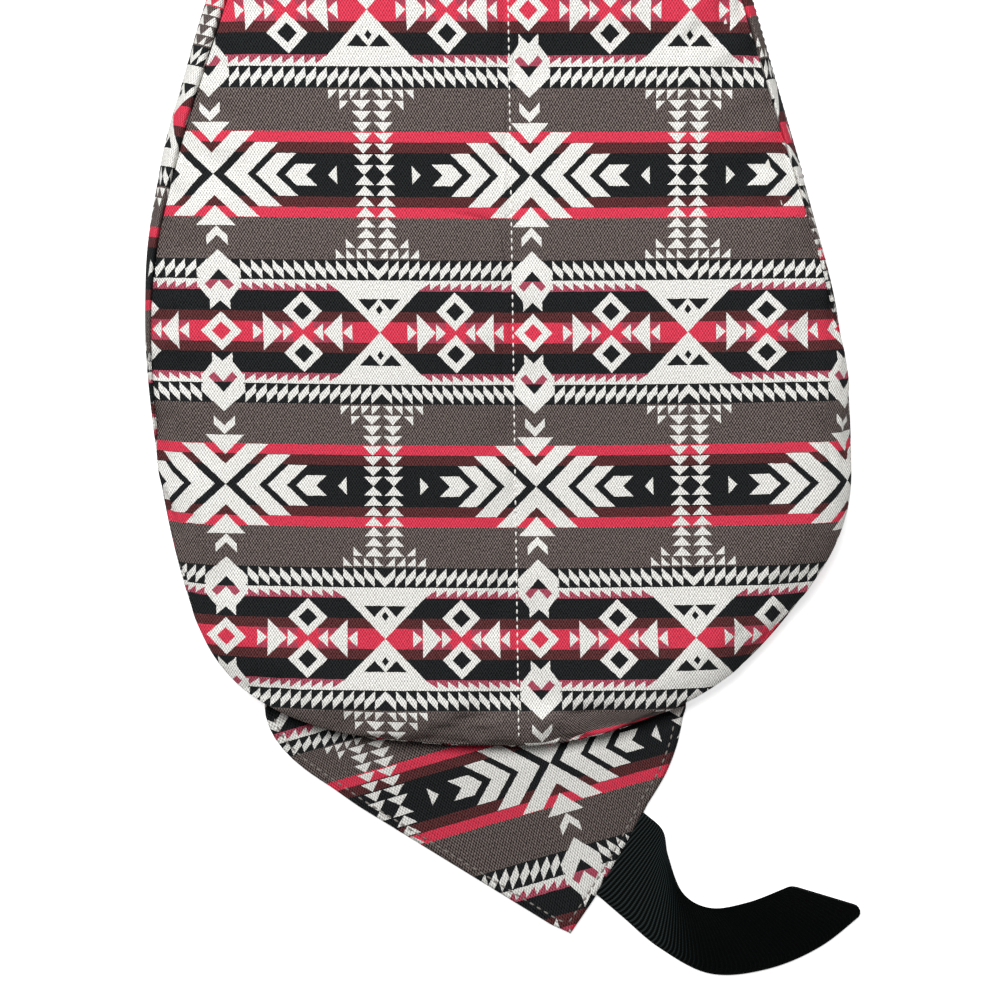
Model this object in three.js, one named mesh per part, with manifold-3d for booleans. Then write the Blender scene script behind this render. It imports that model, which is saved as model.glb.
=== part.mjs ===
// Rope sling bag of printed canvas, lying on its front with the padded back panel up.
// Millimetres, +Z up. The origin is on the resting face of the front panel, +Y points to the rope loop.
import * as THREE from 'three';
import { mergeVertices } from 'three/addons/utils/BufferGeometryUtils.js';
import Module from 'manifold-3d';

const wasm = await Module();
wasm.setup();

// Gap between pieces that touch
const FIT = 0.3;

// Outline of the bag, seen from its back
const TOP_X = -7.4;
const TOP_Y = 358;
const TOP_ROUND = 35;
const LEFT_REACH = 142.5;
const LEFT_WIDEST_Y = 40;
const LEFT_NECK_X = -66.5;
const LEFT_NECK_DROP = 64.5;
const LEFT_NECK_SLOPE = 0.44;
const LEFT_CORNER_X = -113.8;
const LEFT_CORNER_RISE = 35;
const BOTTOM_X = 8.6;
const BOTTOM_Y = -139.5;
const BOTTOM_CUT_SPAN = 71.4;
const BOTTOM_CUT_RISE = 20;
const RIGHT_REACH = 142;
const RIGHT_WIDEST_Y = -30;
const RIGHT_CORNER_INSET = 16;
const RIGHT_CORNER_DROP = 44.2;
const LEFT_CORNER_HEADING = THREE.MathUtils.degToRad(-53);
const CUT_LOW_HEADING = THREE.MathUtils.degToRad(28);
const CUT_HIGH_HEADING = THREE.MathUtils.degToRad(53);

// How far each curve of the outline runs on along its heading before it turns
const FLANK_LEAVE = 95;
const FLANK_ARRIVE = 60;
const LOWER_FLANK_LEAVE = 55;
const LOWER_FLANK_ARRIVE = 24;
const BOTTOM_LEAVE = 30;
const BOTTOM_ARRIVE = 76;
const BOTTOM_TURN = 24;
const CUT_TURN = 22;
const CORNER_LEAVE = 20;
const CORNER_ARRIVE = 14;
const RIGHT_FLANK_TURN = 46;

// Straight stretch of the right side that holds the zip
const ZIP_LOW_INSET = 19.2;
const ZIP_LOW_Y = 88.4;
const ZIP_HIGH_OFFSET = 70.7;
const ZIP_HIGH_DROP = 64.5;

// Heights of the body
const SIDE_HEIGHT = 38;
const BOTTOM_HEIGHT = 16;
const BOTTOM_SLOPE_START_Y = 70;
const CROWN = 13;
const CROWN_X = 0;
const CROWN_Y = 70;

// Side strip between the front and back panels
const WALL = 2;
const LIP_INSET = 3;
const LIP_TOP = 6.4;
const BULGE_LOW = 12;
const BULGE_HIGH = 29.5;
const BULGE_LEAST = 1;
const SHOULDER_SHARE = 0.4;
const SEAM_INSET = 2;
const GUSSET_SHOWS_LEFT = 7;
const GUSSET_SHOWS_RIGHT = 2.6;
const GUSSET_SHOWS_TO_Y = -20;
const GUSSET_SHOWS_FROM_Y = 170;

// Panels
const FRONT_THICKNESS = 1.6;
const BACK_THICKNESS = 1.5;
const FOAM_THICKNESS = 5;
const LINING_THICKNESS = 0.8;
const FOAM_SHARE = 0.93;

// Zip: distances across the tape are measured from its middle line
const ZIP_Z = 20.75;
const ZIP_SLOT_HALF = 5.5;
const ZIP_SLIT_HALF = 0.7;
const TAPE_HALF = 8.4;
const TAPE_THICKNESS = 0.8;
const TOOTH_PITCH = 3.2;
const TOOTH_LENGTH = 2;
const TOOTH_ROOT_HALF = 3.2;
const TOOTH_SPINE = 0.9;
const TOOTH_HEIGHT = 2.4;
const STOP_LENGTH = 4;
const STOP_END_GAP = 3;

// Zip slider and its pull
const SLIDER_LENGTH = 12;
const SLIDER_HALF = 4.2;
const SLIDER_TAIL_HALF = 3.4;
const SLIDER_PLATE = 1.2;
const SLIDER_RUN_GAP = 0.35;
const SLIDER_WEB_LENGTH = 6;
const SLIDER_WEB_HALF = 0.4;
const SLIDER_PARK_GAP = 0.5;
const BRIDGE_LENGTH = 7.2;
const BRIDGE_HALF = 1.2;
const BRIDGE_BAR = 1.1;
const PULL_THICKNESS = 1.2;
const PULL_RUN_GAP = 0.6;
const PULL_BAR = 1.2;
const PULL_EYE_LENGTH = 5;
const PULL_ARM = 1.4;
const PULL_EYE_GAP = 0.5;
const PULL_LENGTH = 32;
const PULL_TAB_HALF = 4.2;
const PULL_HOLE_RADIUS = 1.8;

// Triangular tab at the bottom, seen from the back
const WING_LEFT_X = -95;
const WING_LEFT_Y = -123.4;
const WING_SHOULDER_X = -72.4;
const WING_SHOULDER_Y = -153.8;
const WING_SHOULDER_ROUND = 14.4;
const WING_TIP_X = 29.2;
const WING_TIP_Y = -216.2;
const WING_RIGHT_X = 76.1;
const WING_RIGHT_Y = -124.6;
const WING_SIDE_BULGE = 4.5;
const WING_TUCK = 30;
const WING_BOTTOM_THICKNESS = 1.8;
const WING_TOP_THICKNESS = 3.6;

// Webbing tail: its middle where it leaves the tab, its heading there, and its free run
const WEBBING_WIDTH = 38.1;
const WEBBING_THICKNESS = 1.6;
const WEBBING_EXIT_X = 49.9;
const WEBBING_EXIT_Y = -184.1;
const WEBBING_HEADING = THREE.MathUtils.degToRad(-35);
const WEBBING_HELD = 24;
const WEBBING_STEPS = 24;

// Rope loop at the top
const LOOP_WIDTH = 25.4;
const LOOP_THICKNESS = 1.8;
const LOOP_REACH = 26;
const LOOP_GAP = 14;
const LOOP_Z = 20;

// Fineness of the curved shapes
const CURVE_STEPS = 7;
const LINE_STEPS = 5;
const CROWN_RINGS = 5;

const canvas = new THREE.MeshStandardMaterial({ color: 0x5e524c, roughness: 0.9, metalness: 0 });
const foam = new THREE.MeshStandardMaterial({ color: 0xd8d6d0, roughness: 0.95, metalness: 0 });
const lining = new THREE.MeshStandardMaterial({ color: 0x26282a, roughness: 0.8, metalness: 0 });
const webbing = new THREE.MeshStandardMaterial({ color: 0x121416, roughness: 0.7, metalness: 0 });
const zipTape = new THREE.MeshStandardMaterial({ color: 0x18191b, roughness: 0.85, metalness: 0 });
const zipPlastic = new THREE.MeshStandardMaterial({ color: 0x1b1c1e, roughness: 0.45, metalness: 0 });
const zipMetal = new THREE.MeshStandardMaterial({ color: 0x3a3b3d, roughness: 0.35, metalness: 0.9 });

const zipHigh = new THREE.Vector2(TOP_X + ZIP_HIGH_OFFSET, TOP_Y - ZIP_HIGH_DROP);
const zipLow = new THREE.Vector2(RIGHT_REACH - ZIP_LOW_INSET, ZIP_LOW_Y);
const zipLength = zipHigh.distanceTo(zipLow);
const zipRise = zipHigh.clone().sub(zipLow).normalize();

// Solids from bare corners and triangles, and joins and cuts between solids

function meshGeometry(corners, triangles) {
  const geometry = new THREE.BufferGeometry().setFromPoints(corners);
  geometry.setIndex(triangles);
  geometry.computeVertexNormals();
  return geometry;
}

function toSolid(geometry) {
  const bare = geometry.clone();
  bare.deleteAttribute('normal');
  bare.deleteAttribute('uv');
  const merged = mergeVertices(bare);
  return new wasm.Manifold(new wasm.Mesh({
    numProp: 3,
    vertProperties: new Float32Array(merged.attributes.position.array),
    triVerts: new Uint32Array(merged.index.array),
  }));
}

function toGeometry(solid) {
  const { vertProperties, triVerts } = solid.getMesh();
  const geometry = new THREE.BufferGeometry();
  geometry.setAttribute('position', new THREE.BufferAttribute(vertProperties, 3));
  geometry.setIndex(new THREE.BufferAttribute(triVerts, 1));
  geometry.computeVertexNormals();
  return geometry;
}

function joined(...geometries) {
  return toGeometry(geometries.map(toSolid).reduce((whole, piece) => whole.add(piece)));
}

function cut(geometry, ...cutters) {
  return toGeometry(cutters.map(toSolid).reduce((whole, piece) => whole.subtract(piece), toSolid(geometry)));
}

function box(lowX, highX, lowY, highY, lowZ, highZ) {
  const geometry = new THREE.BoxGeometry(highX - lowX, highY - lowY, highZ - lowZ);
  return geometry.translate((lowX + highX) / 2, (lowY + highY) / 2, (lowZ + highZ) / 2);
}

function plate(shape, lowZ, thickness) {
  const settings = { depth: thickness, bevelEnabled: false, curveSegments: CURVE_STEPS };
  return new THREE.ExtrudeGeometry(shape, settings).translate(0, 0, lowZ);
}

// A shape drawn in x and z, made thick along y from lowY
function uprightPlate(shape, lowY, thickness) {
  return plate(shape, 0, thickness).rotateX(Math.PI / 2).translate(0, lowY + thickness, 0);
}

// A closed solid through sections with the same corners; capContour is one section laid flat
function loft(sections, capContour) {
  const count = capContour.length;
  const triangles = [];
  for (let s = 0; s + 1 < sections.length; s += 1) {
    for (let k = 0; k < count; k += 1) {
      const near = s * count + k;
      const nearNext = s * count + (k + 1) % count;
      triangles.push(near, near + count, nearNext + count, near, nearNext + count, nearNext);
    }
  }
  const last = (sections.length - 1) * count;
  for (const [a, b, c] of THREE.ShapeUtils.triangulateShape(capContour, [])) {
    triangles.push(a, b, c, last + a, last + c, last + b);
  }
  return meshGeometry(sections.flat(), triangles);
}

// Outline of the bag as stations with a place and an outward normal, counter-clockwise from zipLow

function bagOutline() {
  const neckY = TOP_Y - LEFT_NECK_DROP;
  const neckRun = new THREE.Vector2(-LEFT_NECK_SLOPE, -1).normalize();
  const cornerY = BOTTOM_Y + LEFT_CORNER_RISE;
  const cutStart = new THREE.Vector2(BOTTOM_X + BOTTOM_CUT_SPAN, BOTTOM_Y + BOTTOM_CUT_RISE);
  const cutEnd = new THREE.Vector2(RIGHT_REACH - RIGHT_CORNER_INSET, RIGHT_WIDEST_Y - RIGHT_CORNER_DROP);
  const toward = (heading) => new THREE.Vector2(Math.cos(heading), Math.sin(heading));
  const cornerRun = toward(LEFT_CORNER_HEADING);
  const cutLowRun = toward(CUT_LOW_HEADING);
  const cutHighRun = toward(CUT_HIGH_HEADING);
  const outline = new THREE.Path();
  // A curve that leaves along one heading and arrives along another
  const curveTo = (x, y, leave, leaveBy, arrive, arriveBy) => {
    const { x: fromX, y: fromY } = outline.currentPoint;
    outline.bezierCurveTo(
      fromX + leave.x * leaveBy, fromY + leave.y * leaveBy,
      x - arrive.x * arriveBy, y - arrive.y * arriveBy, x, y,
    );
  };
  const up = new THREE.Vector2(0, 1);
  const down = new THREE.Vector2(0, -1);
  const left = new THREE.Vector2(-1, 0);
  const right = new THREE.Vector2(1, 0);
  outline.moveTo(zipLow.x, zipLow.y);
  outline.lineTo(zipHigh.x, zipHigh.y);
  curveTo(TOP_X, TOP_Y, zipRise, TOP_ROUND, left, TOP_ROUND);
  curveTo(LEFT_NECK_X, neckY, left, TOP_ROUND, neckRun, TOP_ROUND);
  curveTo(-LEFT_REACH, LEFT_WIDEST_Y, neckRun, FLANK_LEAVE, down, FLANK_ARRIVE);
  curveTo(LEFT_CORNER_X, cornerY, down, LOWER_FLANK_LEAVE, cornerRun, LOWER_FLANK_ARRIVE);
  curveTo(BOTTOM_X, BOTTOM_Y, cornerRun, BOTTOM_LEAVE, right, BOTTOM_ARRIVE);
  curveTo(cutStart.x, cutStart.y, right, BOTTOM_TURN, cutLowRun, BOTTOM_TURN);
  curveTo(cutEnd.x, cutEnd.y, cutLowRun, CUT_TURN, cutHighRun, CUT_TURN);
  curveTo(RIGHT_REACH, RIGHT_WIDEST_Y, cutHighRun, CORNER_LEAVE, up, CORNER_ARRIVE);
  curveTo(zipLow.x, zipLow.y, up, RIGHT_FLANK_TURN, zipRise, RIGHT_FLANK_TURN);
  return outline;
}

function stationsOn(curve) {
  const steps = curve.isLineCurve ? LINE_STEPS : CURVE_STEPS;
  const stations = [];
  for (let step = 0; step <= steps; step += 1) {
    const t = step / steps;
    const place = curve.getPoint(t);
    const run = curve.getTangent(t);
    stations.push({ x: place.x, y: place.y, normalX: run.y, normalY: -run.x });
  }
  return stations;
}

// The stations of each curve of the outline; the last one of a curve is the first one of the next
const outlineCurves = bagOutline().curves.map(stationsOn);
const outlineStations = outlineCurves.flatMap((stations) => stations.slice(0, -1));
const BOTTOM_CURVE = 5;

function insetPoint(station, inset) {
  return new THREE.Vector2(station.x - station.normalX * inset, station.y - station.normalY * inset);
}

// Height of the back panel's edge, lower toward the bottom of the bag
function seamHeight(y) {
  const drop = 1 - THREE.MathUtils.smoothstep(y, BOTTOM_Y, BOTTOM_SLOPE_START_Y);
  return SIDE_HEIGHT - (SIDE_HEIGHT - BOTTOM_HEIGHT) * drop;
}

// How far the back panel's edge lies inside the widest outline
function seamInset(station) {
  const leftness = (1 - station.normalX) / 2;
  const shows = THREE.MathUtils.lerp(GUSSET_SHOWS_RIGHT, GUSSET_SHOWS_LEFT, leftness);
  return SEAM_INSET + shows * THREE.MathUtils.smoothstep(station.y, GUSSET_SHOWS_TO_Y, GUSSET_SHOWS_FROM_Y);
}

// Side strips

// Outer face of the side strip as insets and heights, from the front panel up to the back panel
function sideProfile(station) {
  const top = seamHeight(station.y) - BACK_THICKNESS - FIT;
  const inset = seamInset(station);
  const bulgeHigh = Math.min(BULGE_HIGH, top - (BULGE_LOW - LIP_TOP));
  return [
    new THREE.Vector2(LIP_INSET, FRONT_THICKNESS + FIT),
    new THREE.Vector2(LIP_INSET, LIP_TOP),
    new THREE.Vector2(0, Math.min(BULGE_LOW, bulgeHigh - BULGE_LEAST)),
    new THREE.Vector2(0, bulgeHigh),
    new THREE.Vector2(inset * SHOULDER_SHARE, (bulgeHigh + top) / 2),
    new THREE.Vector2(inset, top),
  ];
}

function sideStrip(stations, profileOf) {
  const contours = stations.map((station) => {
    const outer = profileOf(station);
    const inner = outer.map((point) => new THREE.Vector2(point.x + WALL, point.y)).reverse();
    return [...outer, ...inner];
  });
  const sections = contours.map((contour, s) => contour.map((point) => {
    const place = insetPoint(stations[s], point.x);
    return new THREE.Vector3(place.x, place.y, point.y);
  }));
  const flat = contours[0].map((point) => new THREE.Vector2(-point.x, point.y));
  return loft(sections, flat);
}

// The stations of some curves of the outline, ending a gap short of the next strip
function stripStations(curves) {
  const stations = curves.flatMap((list) => list.slice(0, -1));
  const end = curves.at(-1).at(-1);
  stations.push({ ...end, x: end.x + end.normalY * FIT, y: end.y - end.normalX * FIT });
  return stations;
}

const zipStations = stripStations(outlineCurves.slice(0, 1));

function gussetLeft() {
  return sideStrip(stripStations(outlineCurves.slice(1, BOTTOM_CURVE + 1)), sideProfile);
}

function gussetRight() {
  return sideStrip(stripStations(outlineCurves.slice(BOTTOM_CURVE + 1)), sideProfile);
}

function zipGussetFront() {
  const edge = new THREE.Vector2(0, ZIP_Z - ZIP_SLOT_HALF);
  return sideStrip(zipStations, (station) => [...sideProfile(station).slice(0, 3), edge]);
}

function zipGussetBack() {
  const edge = new THREE.Vector2(0, ZIP_Z + ZIP_SLOT_HALF);
  return sideStrip(zipStations, (station) => [edge, ...sideProfile(station).slice(3)]);
}

// Panels

function frontPanel() {
  const shape = new THREE.Shape(outlineStations.map((station) => insetPoint(station, LIP_INSET)));
  return plate(shape, 0, FRONT_THICKNESS);
}

// A crowned sheet under the back: share is how much of the panel it covers, drop its depth under the top
function crownedSheet(share, drop, thickness) {
  const rim = outlineStations.map((station) => insetPoint(station, seamInset(station)));
  const middle = new THREE.Vector2(CROWN_X, CROWN_Y);
  const count = rim.length;
  const height = (place, reach) => seamHeight(place.y) + CROWN * (1 - reach ** 2) - drop;
  const corners = [];
  const triangles = [];
  for (const under of [0, thickness]) {
    corners.push(new THREE.Vector3(middle.x, middle.y, height(middle, 0) - under));
    for (let ring = 1; ring <= CROWN_RINGS; ring += 1) {
      const reach = share * ring / CROWN_RINGS;
      for (const point of rim) {
        const place = middle.clone().lerp(point, reach);
        corners.push(new THREE.Vector3(place.x, place.y, height(place, reach) - under));
      }
    }
  }
  const faceSize = 1 + count * CROWN_RINGS;
  const index = (under, ring, k) => under * faceSize + 1 + (ring - 1) * count + k % count;
  for (let k = 0; k < count; k += 1) {
    triangles.push(0, index(0, 1, k), index(0, 1, k + 1));
    triangles.push(faceSize, index(1, 1, k + 1), index(1, 1, k));
    for (let ring = 1; ring < CROWN_RINGS; ring += 1) {
      const [a, b] = [index(0, ring, k), index(0, ring, k + 1)];
      const [c, d] = [index(0, ring + 1, k), index(0, ring + 1, k + 1)];
      triangles.push(a, c, d, a, d, b);
      const [e, f] = [index(1, ring, k), index(1, ring, k + 1)];
      const [g, h] = [index(1, ring + 1, k), index(1, ring + 1, k + 1)];
      triangles.push(e, h, g, e, f, h);
    }
    const [topRim, topRimNext] = [index(0, CROWN_RINGS, k), index(0, CROWN_RINGS, k + 1)];
    const [lowRim, lowRimNext] = [index(1, CROWN_RINGS, k), index(1, CROWN_RINGS, k + 1)];
    triangles.push(topRim, lowRim, lowRimNext, topRim, lowRimNext, topRimNext);
  }
  return meshGeometry(corners, triangles);
}

const foamDrop = BACK_THICKNESS + FIT;
const liningDrop = foamDrop + FOAM_THICKNESS + FIT;

// Zip, in a frame of its own: x runs from its upper to its lower end, y points out of the bag,
// z runs across the tape, and y = 0 is the outer face of the side strips

const tapeOut = -WALL - FIT;
const teethLow = tapeOut + FIT;
const teethOut = teethLow + TOOTH_HEIGHT;
const tapeStart = FIT;
const tapeEnd = zipLength - FIT;
const teethStart = STOP_END_GAP + STOP_LENGTH + FIT;
const teethEnd = zipLength - teethStart;

// side is 1 for the half next to the back panel and -1 for the half next to the front panel
function halfBox(side, lowX, highX, lowY, highY, near, far) {
  return box(lowX, highX, lowY, highY, Math.min(side * near, side * far), Math.max(side * near, side * far));
}

function zipTapeHalf(side) {
  return halfBox(side, tapeStart, tapeEnd, tapeOut - TAPE_THICKNESS, tapeOut, ZIP_SLIT_HALF, TAPE_HALF);
}

function zipTeethHalf(side) {
  const spineNear = TOOTH_ROOT_HALF - TOOTH_SPINE;
  const stagger = side > 0 ? 0 : TOOTH_PITCH / 2;
  const comb = [new THREE.Vector2(teethStart, TOOTH_ROOT_HALF), new THREE.Vector2(teethStart, spineNear)];
  for (let x = teethStart + stagger + TOOTH_SPINE; x + TOOTH_LENGTH < teethEnd; x += TOOTH_PITCH) {
    comb.push(new THREE.Vector2(x, spineNear), new THREE.Vector2(x, ZIP_SLIT_HALF));
    comb.push(new THREE.Vector2(x + TOOTH_LENGTH, ZIP_SLIT_HALF));
    comb.push(new THREE.Vector2(x + TOOTH_LENGTH, spineNear));
  }
  comb.push(new THREE.Vector2(teethEnd, spineNear), new THREE.Vector2(teethEnd, TOOTH_ROOT_HALF));
  const shape = new THREE.Shape(comb.map((point) => new THREE.Vector2(point.x, side * point.y)));
  return uprightPlate(shape, teethLow, TOOTH_HEIGHT);
}

function zipTopStopHalf(side) {
  const end = STOP_END_GAP + STOP_LENGTH;
  return halfBox(side, STOP_END_GAP, end, teethLow, teethOut, ZIP_SLIT_HALF, TOOTH_ROOT_HALF);
}

function zipBottomStop() {
  const end = zipLength - STOP_END_GAP;
  return box(end - STOP_LENGTH, end, teethLow, teethOut, -TOOTH_ROOT_HALF, TOOTH_ROOT_HALF);
}

// Slider and pull, with x = 0 at the slider's middle

const sliderOut = teethOut + SLIDER_RUN_GAP;
const sliderTop = sliderOut + SLIDER_PLATE;
const sliderIn = tapeOut - TAPE_THICKNESS - SLIDER_RUN_GAP;
const sliderPark = STOP_END_GAP + STOP_LENGTH + SLIDER_PARK_GAP + SLIDER_LENGTH / 2;
const pullLow = sliderTop + PULL_RUN_GAP;
const pullPin = pullLow + PULL_THICKNESS / 2;

function sliderOutline() {
  const front = -SLIDER_LENGTH / 2;
  const tail = SLIDER_LENGTH / 2;
  const chamfer = (SLIDER_HALF + SLIDER_TAIL_HALF) / 5;
  return new THREE.Shape([
    new THREE.Vector2(front, -SLIDER_HALF + chamfer),
    new THREE.Vector2(front + chamfer, -SLIDER_HALF),
    new THREE.Vector2(0, -SLIDER_HALF),
    new THREE.Vector2(tail, -SLIDER_TAIL_HALF),
    new THREE.Vector2(tail, SLIDER_TAIL_HALF),
    new THREE.Vector2(0, SLIDER_HALF),
    new THREE.Vector2(front + chamfer, SLIDER_HALF),
    new THREE.Vector2(front, SLIDER_HALF - chamfer),
  ]);
}

function zipSlider() {
  const outline = sliderOutline();
  const outerPlate = uprightPlate(outline, sliderOut, SLIDER_PLATE);
  const innerPlate = uprightPlate(outline, sliderIn - SLIDER_PLATE, SLIDER_PLATE);
  const sunk = SLIDER_PLATE / 2;
  const web = box(
    -SLIDER_WEB_LENGTH / 2, SLIDER_WEB_LENGTH / 2, sliderIn - sunk, sliderOut + sunk,
    -SLIDER_WEB_HALF, SLIDER_WEB_HALF,
  );
  const barLow = pullLow + PULL_THICKNESS + PULL_EYE_GAP;
  const reach = BRIDGE_LENGTH / 2;
  const bridge = cut(
    box(-reach, reach, sliderTop - sunk, barLow + BRIDGE_BAR, -BRIDGE_HALF, BRIDGE_HALF),
    box(
      -reach + BRIDGE_BAR, reach - BRIDGE_BAR, sliderTop - 2 * sunk, barLow,
      -2 * BRIDGE_HALF, 2 * BRIDGE_HALF,
    ),
  );
  return joined(outerPlate, innerPlate, web, bridge);
}

function zipPull() {
  const eyeHalf = BRIDGE_HALF + PULL_EYE_GAP;
  const armHalf = eyeHalf + PULL_ARM;
  const eyeEnd = PULL_BAR / 2 + PULL_EYE_LENGTH;
  const tabStart = eyeEnd + PULL_ARM + (PULL_TAB_HALF - armHalf);
  const shape = new THREE.Shape();
  shape.moveTo(-PULL_BAR / 2, -armHalf);
  shape.lineTo(eyeEnd + PULL_ARM, -armHalf);
  shape.lineTo(tabStart, -PULL_TAB_HALF);
  shape.lineTo(PULL_LENGTH - PULL_TAB_HALF, -PULL_TAB_HALF);
  shape.absarc(PULL_LENGTH - PULL_TAB_HALF, 0, PULL_TAB_HALF, -Math.PI / 2, Math.PI / 2, false);
  shape.lineTo(tabStart, PULL_TAB_HALF);
  shape.lineTo(eyeEnd + PULL_ARM, armHalf);
  shape.lineTo(-PULL_BAR / 2, armHalf);
  const eye = new THREE.Path([
    new THREE.Vector2(PULL_BAR / 2, -eyeHalf),
    new THREE.Vector2(eyeEnd, -eyeHalf),
    new THREE.Vector2(eyeEnd, eyeHalf),
    new THREE.Vector2(PULL_BAR / 2, eyeHalf),
  ]);
  const hole = new THREE.Path();
  hole.absarc(PULL_LENGTH - PULL_TAB_HALF, 0, PULL_HOLE_RADIUS, 0, 2 * Math.PI, false);
  shape.holes.push(eye, hole);
  return uprightPlate(shape, -PULL_THICKNESS / 2, PULL_THICKNESS);
}

// Triangular tab, cut to lie against the lower lip of the side strip

function wingOutline() {
  const sideX = (WING_TIP_X + WING_RIGHT_X) / 2 + 2 * WING_SIDE_BULGE;
  const sideY = (WING_TIP_Y + WING_RIGHT_Y) / 2;
  const shape = new THREE.Shape();
  shape.moveTo(WING_LEFT_X, WING_LEFT_Y);
  const shoulderTurnY = WING_SHOULDER_Y + WING_SHOULDER_ROUND;
  shape.quadraticCurveTo(WING_LEFT_X, shoulderTurnY, WING_SHOULDER_X, WING_SHOULDER_Y);
  shape.lineTo(WING_TIP_X, WING_TIP_Y);
  shape.quadraticCurveTo(sideX, sideY, WING_RIGHT_X, WING_RIGHT_Y);
  shape.lineTo(WING_RIGHT_X, WING_RIGHT_Y + WING_TUCK);
  shape.lineTo(WING_LEFT_X, WING_LEFT_Y + WING_TUCK);
  return shape;
}

function underBody() {
  const grown = outlineStations.map((station) => insetPoint(station, LIP_INSET - FIT));
  return plate(new THREE.Shape(grown), -WALL, LIP_TOP + 2 * WALL);
}

function wingBottom() {
  return cut(plate(wingOutline(), 0, WING_BOTTOM_THICKNESS), underBody());
}

const wingTopLow = WING_BOTTOM_THICKNESS + FIT;
const webbingHalf = WEBBING_WIDTH / 2;

function wingTop() {
  const pocketHalf = webbingHalf + FIT;
  const pocket = box(
    -WEBBING_HELD - FIT, WEBBING_HELD, -pocketHalf, pocketHalf,
    wingTopLow - FIT, wingTopLow + WEBBING_THICKNESS + FIT,
  );
  pocket.rotateZ(WEBBING_HEADING).translate(WEBBING_EXIT_X, WEBBING_EXIT_Y, 0);
  return cut(plate(wingOutline(), wingTopLow, WING_TOP_THICKNESS), underBody(), pocket);
}

// Webbing: places across the strip after it leaves the tab, in a frame at its exit with x along its heading.
// Each one is the inner edge and then the outer edge, which stays on the floor as the strip turns up.
const webbingRun = [
  [[0, webbingHalf, 0], [0, -webbingHalf, 0]],
  [[8.5, webbingHalf - 1.5, 1], [15, -webbingHalf - 1.4, -0.6]],
  [[15.9, 10.7, 4.5], [34.5, -22, -1.5]],
  [[28.5, 2.3, 11.5], [57.5, -18.5, -1.8]],
  [[40.9, 3.8, 13], [75.2, -3.7, -1.8]],
  [[52, 14.3, 12], [87.5, 16, -1.8]],
  [[62, 29.7, 15.7], [94.4, 39.5, -1.8]],
];

function webbingTail() {
  const edge = (which) => new THREE.CatmullRomCurve3(
    webbingRun.map((pair) => new THREE.Vector3(...pair[which])),
  );
  const inner = edge(0);
  const outer = edge(1);
  const section = (near, far, along) => {
    const across = far.clone().sub(near);
    const rise = across.cross(along).normalize().multiplyScalar(WEBBING_THICKNESS);
    return [near, far, far.clone().add(rise), near.clone().add(rise)];
  };
  const heading = new THREE.Vector3(1, 0, 0);
  const held = heading.clone().multiplyScalar(-WEBBING_HELD);
  const sections = [section(inner.getPoint(0).add(held), outer.getPoint(0).add(held), heading)];
  for (let step = 0; step <= WEBBING_STEPS; step += 1) {
    const t = step / WEBBING_STEPS;
    const along = step === 0 ? heading : inner.getTangent(t).add(outer.getTangent(t));
    sections.push(section(inner.getPoint(t), outer.getPoint(t), along));
  }
  const flat = [[0, 0], [1, 0], [1, 1], [0, 1]].map(([x, y]) => new THREE.Vector2(x, y));
  return loft(sections, flat);
}

// Rope loop: a flat band bent into a closed ring, with its axis along x

function ropeLoop() {
  const band = (half, low, high) => {
    const shape = new THREE.Shape();
    shape.moveTo(-half, low);
    shape.lineTo(half, low);
    shape.lineTo(half, high - half);
    shape.absarc(0, high - half, half, 0, Math.PI, false);
    shape.lineTo(-half, low);
    return shape;
  };
  const outer = band(LOOP_GAP / 2 + LOOP_THICKNESS, 0, LOOP_REACH);
  outer.holes.push(band(LOOP_GAP / 2, LOOP_THICKNESS, LOOP_REACH - LOOP_THICKNESS));
  return plate(outer, -LOOP_WIDTH / 2, LOOP_WIDTH);
}

function named(name, geometry, material) {
  const mesh = new THREE.Mesh(geometry, material);
  mesh.name = name;
  return mesh;
}

const bag = new THREE.Group();
bag.add(
  named('front_panel', frontPanel(), canvas),
  named('back_panel', crownedSheet(1, 0, BACK_THICKNESS), canvas),
  named('back_foam', crownedSheet(FOAM_SHARE, foamDrop, FOAM_THICKNESS), foam),
  named('back_lining', crownedSheet(FOAM_SHARE, liningDrop, LINING_THICKNESS), lining),
  named('gusset_left', gussetLeft(), canvas),
  named('gusset_right', gussetRight(), canvas),
  named('zip_gusset_front', zipGussetFront(), canvas),
  named('zip_gusset_back', zipGussetBack(), canvas),
  named('wing_bottom', wingBottom(), canvas),
  named('wing_top', wingTop(), canvas),
);

const zip = new THREE.Group();
zip.position.set(zipHigh.x, zipHigh.y, ZIP_Z);
zip.rotation.z = Math.atan2(-zipRise.y, -zipRise.x);
for (const [half, side] of [['back', 1], ['front', -1]]) {
  zip.add(
    named(`zip_tape_${half}`, zipTapeHalf(side), zipTape),
    named(`zip_teeth_${half}`, zipTeethHalf(side), zipPlastic),
    named(`zip_top_stop_${half}`, zipTopStopHalf(side), zipMetal),
  );
}
zip.add(named('zip_bottom_stop', zipBottomStop(), zipMetal));
const slider = new THREE.Group();
slider.position.x = sliderPark;
slider.add(named('zip_slider', zipSlider(), zipMetal));
const pull = named('zip_pull', zipPull(), zipMetal);
pull.position.y = pullPin;
slider.add(pull);
zip.add(slider);
bag.add(zip);

const tail = named('webbing_tail', webbingTail(), webbing);
tail.position.set(WEBBING_EXIT_X, WEBBING_EXIT_Y, wingTopLow);
tail.rotation.z = WEBBING_HEADING;
bag.add(tail);

const loop = named('rope_loop', ropeLoop(), webbing);
loop.position.set(TOP_X, TOP_Y + FIT, LOOP_Z);
loop.rotation.y = -Math.PI / 2;
bag.add(loop);

export default bag;
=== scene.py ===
# A rope sling bag of printed canvas, lying on its front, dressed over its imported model. Lengths in metres.
import math
from functools import partialmethod

import bpy
import numpy as np
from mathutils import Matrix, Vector, noise
from mathutils.bvhtree import BVHTree


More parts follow.
